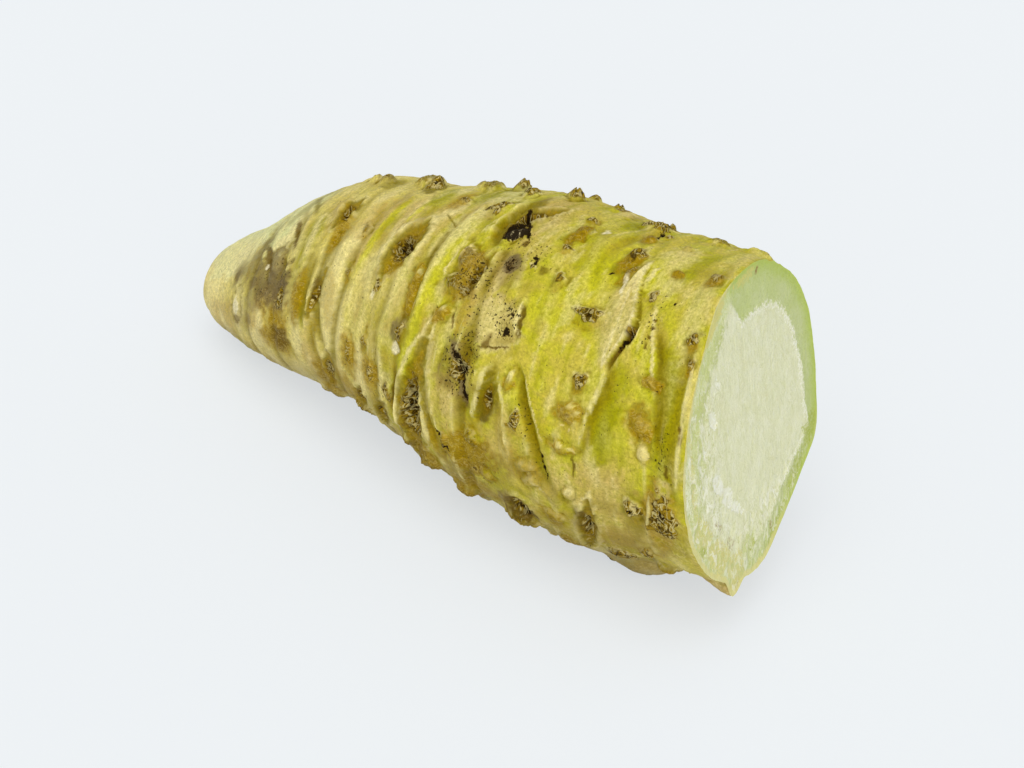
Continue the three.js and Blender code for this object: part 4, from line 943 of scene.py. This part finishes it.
class Wire:
    """A shader socket that Python sums can work on. Each sum adds its own Math node."""

    def __init__(self, tree, socket=None):
        self.tree = tree
        self.socket = socket

    def node(self, kind, settings, values, output=0):
        """Add any node: its settings are made first, then its sockets are filled or linked."""
        made = self.tree.nodes.new(kind)
        for name, value in settings.items():
            setattr(made, name, value)
        for name, value in values.items():
            if isinstance(value, Wire):
                self.tree.links.new(value.socket, made.inputs[name])
            else:
                made.inputs[name].default_value = value
        return Wire(self.tree, made.outputs[output])

    def math(self, operation, first, second=0.0):
        return self.node("ShaderNodeMath", {"operation": operation}, {0: first, 1: second})

    def __add__(self, other):
        return self.math("ADD", self, other)

    def __radd__(self, other):
        return self.math("ADD", other, self)

    def __sub__(self, other):
        return self.math("SUBTRACT", self, other)

    def __rsub__(self, other):
        return self.math("SUBTRACT", other, self)

    def __mul__(self, other):
        return self.math("MULTIPLY", self, other)

    def __rmul__(self, other):
        return self.math("MULTIPLY", other, self)

    def __abs__(self):
        return self.math("ABSOLUTE", self)

    def step(self, low, high):
        """0 at low, 1 at high and a soft step between them, which may run downwards."""
        start, end, first, last = (low, high, 0.0, 1.0) if low < high else (high, low, 1.0, 0.0)
        return self.node("ShaderNodeMapRange", {"interpolation_type": "SMOOTHSTEP"},
                         {"Value": self, "From Min": start, "From Max": end,
                          "To Min": first, "To Max": last})

    def coat(self, under, over):
        """One colour over another, as thick as this value."""
        return self.node("ShaderNodeMix", {"data_type": "RGBA"}, {0: self, 6: under, 7: over}, 2)

    def stored(self, name, output=2):
        """What the piece stores for its vertices under a name: 2 a number, 1 a vector."""
        return self.node("ShaderNodeAttribute", {"attribute_name": name}, {}, output)

    def grown(self, places, stretch, detail=3.0, rough=0.55, warp=0.0, shift=0.0):
        """Chance variation, 0 to 1, over places in mm, with lumps stretched as given."""
        scaled = self.node("ShaderNodeVectorMath", {"operation": "MULTIPLY_ADD"},
                           {0: places, 1: [1 / length for length in stretch], 2: (shift,) * 3})
        return self.node("ShaderNodeTexNoise", {},
                         {"Vector": scaled, "Scale": 1.0, "Detail": detail, "Roughness": rough,
                          "Distortion": warp})


def new_material(name, roughness, subsurface, radii):
    """Give the root a new material: its shader, and a wire to start its sums from."""
    material = bpy.data.materials.new(name)
    material.use_nodes = True
    shader = material.node_tree.nodes["Principled BSDF"]
    shader.inputs["Roughness"].default_value = roughness
    shader.inputs["Subsurface Weight"].default_value = subsurface
    shader.inputs["Subsurface Radius"].default_value = radii
    shader.inputs["Subsurface Scale"].default_value = 0.001
    root.data.materials.append(material)
    return shader, Wire(material.node_tree)


shader, start = new_material("waxy_skin", 0.5, 0.06, (1.6, 1.2, 0.4))
shader.inputs["Specular IOR Level"].default_value = 0.05
where = start.stored("grain", 1)
blotches = start.grown(where, (4, 3, 3), 4)
freckles = start.grown(where, (0.5, 0.5, 0.5), 3, 0.6, shift=11)
pores = start.grown(where, (0.22, 0.26, 0.26), 2, 0.6, shift=27)
rings = start.grown(where, (0.55, 4.5, 4.5), 4, 0.6, 0.3, shift=5)
fringe = (freckles - 0.5) * 0.5 + (rings - 0.5) * 0.35

colour = blotches.step(0.36, 0.62).coat(paint(185, 179, 38), paint(184, 169, 62))
colour = (start.stored("pale") * 0.85).coat(colour, paint(206, 190, 106))
colour = start.stored("tip").coat(colour, paint(218, 202, 130))
# Painted shade: darker and browner towards the underside.
colour = (start.stored("under") * 0.9).coat(colour, paint(168, 143, 66))

# Each coat, its colour and how much it covers, with the later ones over the earlier ones
SKIN_COATS = (
    ("sage", paint(214, 214, 150), 0.95), ("tan", paint(182, 157, 92), 0.8),
    ("yellow", paint(189, 184, 18), 0.85), ("green", paint(146, 142, 0), 0.95),
    # The coat after cream, on the furrow side beside each crest, is painted shade.
    ("cream", paint(220, 206, 140), 0.8), ("shaded_side", paint(138, 118, 0), 0.5),
    ("olive", paint(118, 104, 0), 0.88), ("gold", paint(150, 121, 0), 0.85),
    ("brown", paint(90, 67, 2), 0.88), ("grey", paint(114, 98, 62), 0.9),
    ("white", paint(224, 214, 172), 0.9),
)
for name, over, thick in SKIN_COATS:
    amount = start.stored(name)
    edge = (amount + fringe * (amount * 3).step(0, 1)).step(0.0, 0.95)
    colour = (edge * thick).coat(colour, over)

# Gold tissue is crumpled into petals, with painted shade in its creases and cream edges.
petals = start.grown(where, (1.5, 0.9, 0.9), 2, 0.5, 1.2, shift=141)
petal_edges = start.grown(where, (1.3, 1.0, 1.0), 2, 0.5, 1.2, shift=163)
golden = start.stored("gold").step(0.45, 0.85)
colour = (abs(petals - 0.5).step(0.06, 0.01) * golden * 0.35).coat(colour, paint(112, 86, 10))
colour = (abs(petal_edges - 0.5).step(0.05, 0.01) * golden * 0.25).coat(colour, paint(208, 188, 110))

# Thin pale lines along the crests: partly their own cream, partly painted highlight.
crest = (start.stored("crest_gap") + (rings - 0.5) * 0.8 + (freckles - 0.5) * 0.7).step(0.6, 0.15)
colour = (crest * 0.75).coat(colour, paint(218, 205, 136))
ring_contrast = start.stored("pale") * 0.45 + 0.1
shade = (1.02 + (freckles - 0.5) * 1.1 + (pores - 0.5) * 0.6 + (rings - 0.5) * ring_contrast
         + (blotches - 0.5) * 0.3)
dusty = freckles.step(0.52, 0.66) * start.stored("under").step(0.0, 0.5)
colour = start.node("ShaderNodeVectorMath", {"operation": "SCALE"}, {0: colour, "Scale": shade})
colour = (dusty * 0.3).coat(colour, paint(208, 194, 140))

# Crust: brown scabs with pale torn fibres, black in between.
scabs = start.grown(where, (0.8, 0.9, 0.9), 5, 0.65, 0.8, shift=41)
threads = start.grown(where, (1.3, 1.7, 1.7), 2, 0.5, 1.6, shift=63)
specks = start.grown(where, (0.32, 0.4, 0.4), 3, 0.6, 0.6, shift=83)
crust = start.stored("crust")
crust_colour = scabs.step(0.42, 0.56).coat(paint(62, 44, 4), paint(152, 124, 24))
crust_edge = (crust + (scabs - 0.5) * 1.1 * (crust * 3).step(0, 1)).step(0.3, 0.62)
colour = (crust_edge * 0.9).coat(colour, crust_colour)
dots = start.grown(where, (0.3, 0.36, 0.36), 1.5, 0.5, shift=97) + start.stored("dots") * 0.16
colour = (dots.step(0.72, 0.76) * 0.9).coat(colour, paint(40, 28, 6))
black = start.stored("black")
black_fringe = (scabs - 0.5) * 1.6 + (specks - 0.5) * 1.6
black = black + black_fringe * (black * 3).step(0, 1)
colour = (black.step(0.25, 0.5) * 0.8).coat(colour, paint(78, 54, 4))
black_edge = black.step(0.48, 0.7)
colour = (black_edge * 0.95).coat(colour, paint(22, 13, 2))
torn_threads = abs(threads - 0.5).step(0.055, 0.025) + specks.step(0.6, 0.68) * 0.3
colour = (torn_threads * crust_edge * 0.8).coat(colour, paint(204, 188, 122))

height = freckles * 0.45 + pores * 0.12 + rings * 0.15 + (crust_edge * scabs) * 1.2
height = height + crust_edge * torn_threads * 0.5 - black_edge * 0.5
bump = start.node("ShaderNodeBump", {}, {"Height": height, "Strength": 0.75, "Distance": 0.00042})
gloss = 0.5 + crust_edge * 0.3 + black_edge * 0.2 + (freckles - 0.5) * 0.2
for socket, wire in (("Base Color", colour), ("Roughness", gloss), ("Normal", bump)):
    start.tree.links.new(wire.socket, shader.inputs[socket])

# --- The flesh's colour ----------------------------------------------------------------
# The cut flesh is moist and matt: a pale fibrous middle, a jagged green ring and crumbs
# of white where the two part, with a thin yellow rind round it all.
shader, start = new_material("cut_flesh", 0.62, 0.2, (2.0, 1.8, 0.9))
shader.inputs["Specular IOR Level"].default_value = 0.3
where = start.stored("flat", 1)
fibres = start.grown(where, (0.32, 3.2, 1), 4, 0.6)
crumbs = start.grown(where, (0.7, 0.7, 1), 4, 0.65, 0.5, shift=9)
specks = start.grown(where, (0.3, 0.4, 1), 3, 0.6, shift=17)
clouds = start.grown(where, (3.5, 5, 1), 3, 0.5, shift=31)

colour = fibres.step(0.3, 0.7).coat(paint(215, 216, 172), paint(221, 222, 184))
colour = (crumbs.step(0.5, 0.66) * 0.3).coat(colour, paint(230, 229, 200))
colour = (clouds.step(0.46, 0.66) * 0.5).coat(colour, paint(227, 227, 194))
colour = (clouds.step(0.44, 0.3) * 0.35).coat(colour, paint(208, 206, 158))
colour = (specks.step(0.56, 0.68) * 0.4).coat(colour, paint(236, 234, 208))
colour = (specks.step(0.44, 0.32) * 0.35).coat(colour, paint(200, 200, 148))
flakes = start.grown(where, (1.2, 1.9, 1), 5, 0.68, 1.0, shift=53)
rough = start.stored("rough")
drawn = start.stored("drawn")
colour = (flakes.step(0.52, 0.62) * 0.4).coat(colour, paint(231, 231, 204))
colour = (flakes.step(0.45, 0.36) * 0.4).coat(colour, paint(205, 206, 154))
around = start.stored("ring")
ring = around + (crumbs - 0.5) * 3.4 + (specks - 0.5) * 2.4 + (fibres - 0.5) * drawn * 4
green = clouds.step(0.4, 0.6).coat(paint(192, 200, 140), paint(187, 197, 128))
green = (crumbs.step(0.5, 0.66) * 0.4).coat(green, paint(172, 184, 100))
green = (specks.step(0.54, 0.68) * 0.4).coat(green, paint(208, 212, 148))
rest = crumbs.step(0.38, 0.6).coat(paint(200, 204, 138), paint(224, 224, 190))
rest = (specks.step(0.5, 0.64) * 0.6).coat(rest, paint(234, 234, 212))
share = start.stored("share")
green = ((share + (crumbs - 0.5) * 0.1).step(0.86, 0.99) * 0.7).coat(green, paint(170, 188, 72))
rest = (flakes.step(0.47, 0.38) * 0.7).coat(rest, paint(188, 196, 122))
green = (start.stored("ring_green") + (crumbs - 0.5) * 0.8).step(0.2, 0.8).coat(rest, green)
colour = ring.step(-0.5, 0.7).coat(colour, green)
line = abs(ring + 0.1).step(0.6, 0.1) * abs(around).step(2.4, 0.8) * start.stored("ring_green").step(0.5, 0.9)
colour = (line * specks.step(0.44, 0.54) * 0.9).coat(colour, paint(240, 238, 220))
# The stains' colours
STAIN_COVER = 0.8
for name, over in (("green", paint(186, 194, 116)), ("yellow", paint(208, 198, 112)),
                   ("olive", paint(164, 174, 52)), ("brown", paint(140, 108, 44))):
    amount = start.stored("flesh_" + name)
    edge = (amount + ((crumbs - 0.5) * 1.6 + (specks - 0.5) * 1.8) * (amount * 4).step(0, 1)).step(0.1, 0.75)
    colour = (edge * STAIN_COVER).coat(colour, over)
colour = (rough * flakes.step(0.47, 0.4) * 0.5).coat(colour, paint(192, 199, 128))
colour = (rough * specks.step(0.46, 0.38) * 0.5).coat(colour, paint(190, 184, 112))
colour = (rough * flakes.step(0.53, 0.6) * 0.7).coat(colour, paint(235, 234, 212))
colour = (drawn * fibres.step(0.5, 0.6) * 0.4).coat(colour, paint(224, 222, 178))
tear_edge = (start.stored("tear") + (specks - 0.5) * 1.0 + (crumbs - 0.5) * 0.8).step(0.35, 0.65)
torn_flesh = crumbs.step(0.35, 0.55).coat(paint(224, 223, 190), paint(238, 238, 222))
colour = (tear_edge * 0.75).coat(colour, torn_flesh)
rind = (share + rough * 0.02 + (specks - 0.5) * 0.03 + (crumbs - 0.5) * 0.05).step(0.97, 0.99)
rim_green = start.stored("ring_green").step(0.6, 0.9).coat(paint(214, 206, 134), paint(172, 188, 84))
colour = (rind * 0.85).coat(colour, rim_green)
height = fibres * 0.2 + crumbs * 0.7 + specks * 0.35 + flakes * 0.9 - tear_edge * 0.3
bump = start.node("ShaderNodeBump", {}, {"Height": height, "Strength": 0.7, "Distance": 0.0004})
for socket, wire in (("Base Color", colour), ("Normal", bump)):
    start.tree.links.new(wire.socket, shader.inputs[socket])

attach(root, "root")
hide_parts("wasabi_root")

# --- The table it lies on --------------------------------------------------------------
# A plain pale sweep, lit evenly, with the light high and in front of the root.
GLOW_SHARE = 0.68          # how much of the table's look is its own, so its shadow stays faint
BACKDROP = paint(239, 243, 246)

bpy.ops.object.select_all(action="DESELECT")
bpy.ops.mesh.primitive_plane_add(size=6, location=(0, 0, 0))
floor = bpy.context.object
floor.name = floor.data.name = "table"
floor_material = bpy.data.materials.new("pale_table")
floor_material.use_nodes = True
floor_shader = floor_material.node_tree.nodes["Principled BSDF"]
floor_shader.inputs["Base Color"].default_value = paint(231, 235, 238)
floor_shader.inputs["Roughness"].default_value = 0.9
floor_shader.inputs["Specular IOR Level"].default_value = 0.0
floor.data.materials.append(floor_material)


def rays_seen(start):
    """1 for what the camera sees, straight, in a gloss or through glass."""
    return sum(start.node("ShaderNodeLightPath", {}, {}, kind)
               for kind in ("Is Camera Ray", "Is Glossy Ray", "Is Transmission Ray"))


start = Wire(floor_material.node_tree)
seen = rays_seen(start)
glow = start.node("ShaderNodeEmission", {}, {"Color": BACKDROP})
lit = Wire(start.tree, floor_shader.outputs["BSDF"])
surface = start.node("ShaderNodeMixShader", {}, {0: seen * GLOW_SHARE, 1: lit, 2: glow})
start.tree.links.new(surface.socket, start.tree.nodes["Material Output"].inputs["Surface"])

scene = bpy.context.scene
scene.world = bpy.data.worlds.new("studio")
scene.world.use_nodes = True
sky = scene.world.node_tree.nodes["Background"]
sky.inputs["Color"].default_value = (1, 1, 1, 1)
sky.inputs["Strength"].default_value = 0.6
start = Wire(scene.world.node_tree)
seen = rays_seen(start)
backdrop = start.node("ShaderNodeBackground", {}, {"Color": BACKDROP})
lit = Wire(start.tree, sky.outputs["Background"])
surface = start.node("ShaderNodeMixShader", {}, {0: seen, 1: lit, 2: backdrop})
start.tree.links.new(surface.socket, start.tree.nodes["World Output"].inputs["Surface"])

# Each lamp is a broad panel far off: (name, direction it stands in, strength, breadth in degrees)
LAMPS = (
    ("lamp_high", (0.25, -0.45, 1.0), 1.15, 50),
    ("lamp_front", (0.75, -0.7, 0.35), 1.3, 60),
)
for name, side, strength, breadth in LAMPS:
    bpy.ops.object.light_add(type="SUN", location=side,
                             rotation=(-Vector(side)).to_track_quat("-Z", "Y").to_euler())
    lamp = bpy.context.object
    lamp.name = name
    lamp.data.energy = strength
    lamp.data.angle = math.radians(breadth)

# --- The camera ------------------------------------------------------------------------
# It looks down at the cut end from the -Y side, a little turned about its own axis.
CAMERA_AZIMUTH = math.radians(40)
CAMERA_ELEVATION = math.radians(30)
CAMERA_ROLL = math.radians(4)
CAMERA_DISTANCE = 0.45
CAMERA_TARGET = Vector((0.0057, 0, 0.0149))

back = Vector((math.sin(CAMERA_AZIMUTH) * math.cos(CAMERA_ELEVATION),
               -math.cos(CAMERA_AZIMUTH) * math.cos(CAMERA_ELEVATION), math.sin(CAMERA_ELEVATION)))
level = Vector((math.cos(CAMERA_AZIMUTH), math.sin(CAMERA_AZIMUTH), 0))
upward = back.cross(level)
across = level * math.cos(CAMERA_ROLL) + upward * math.sin(CAMERA_ROLL)
above = back.cross(across)
bpy.ops.object.camera_add(location=CAMERA_TARGET + back * CAMERA_DISTANCE,
                          rotation=Matrix((across, above, back)).transposed().to_euler())
camera = bpy.context.object
camera.data.lens = 110
camera.data.sensor_width = 36
camera.data.clip_start = 0.01
scene.camera = camera

scene.view_settings.view_transform = "Standard"
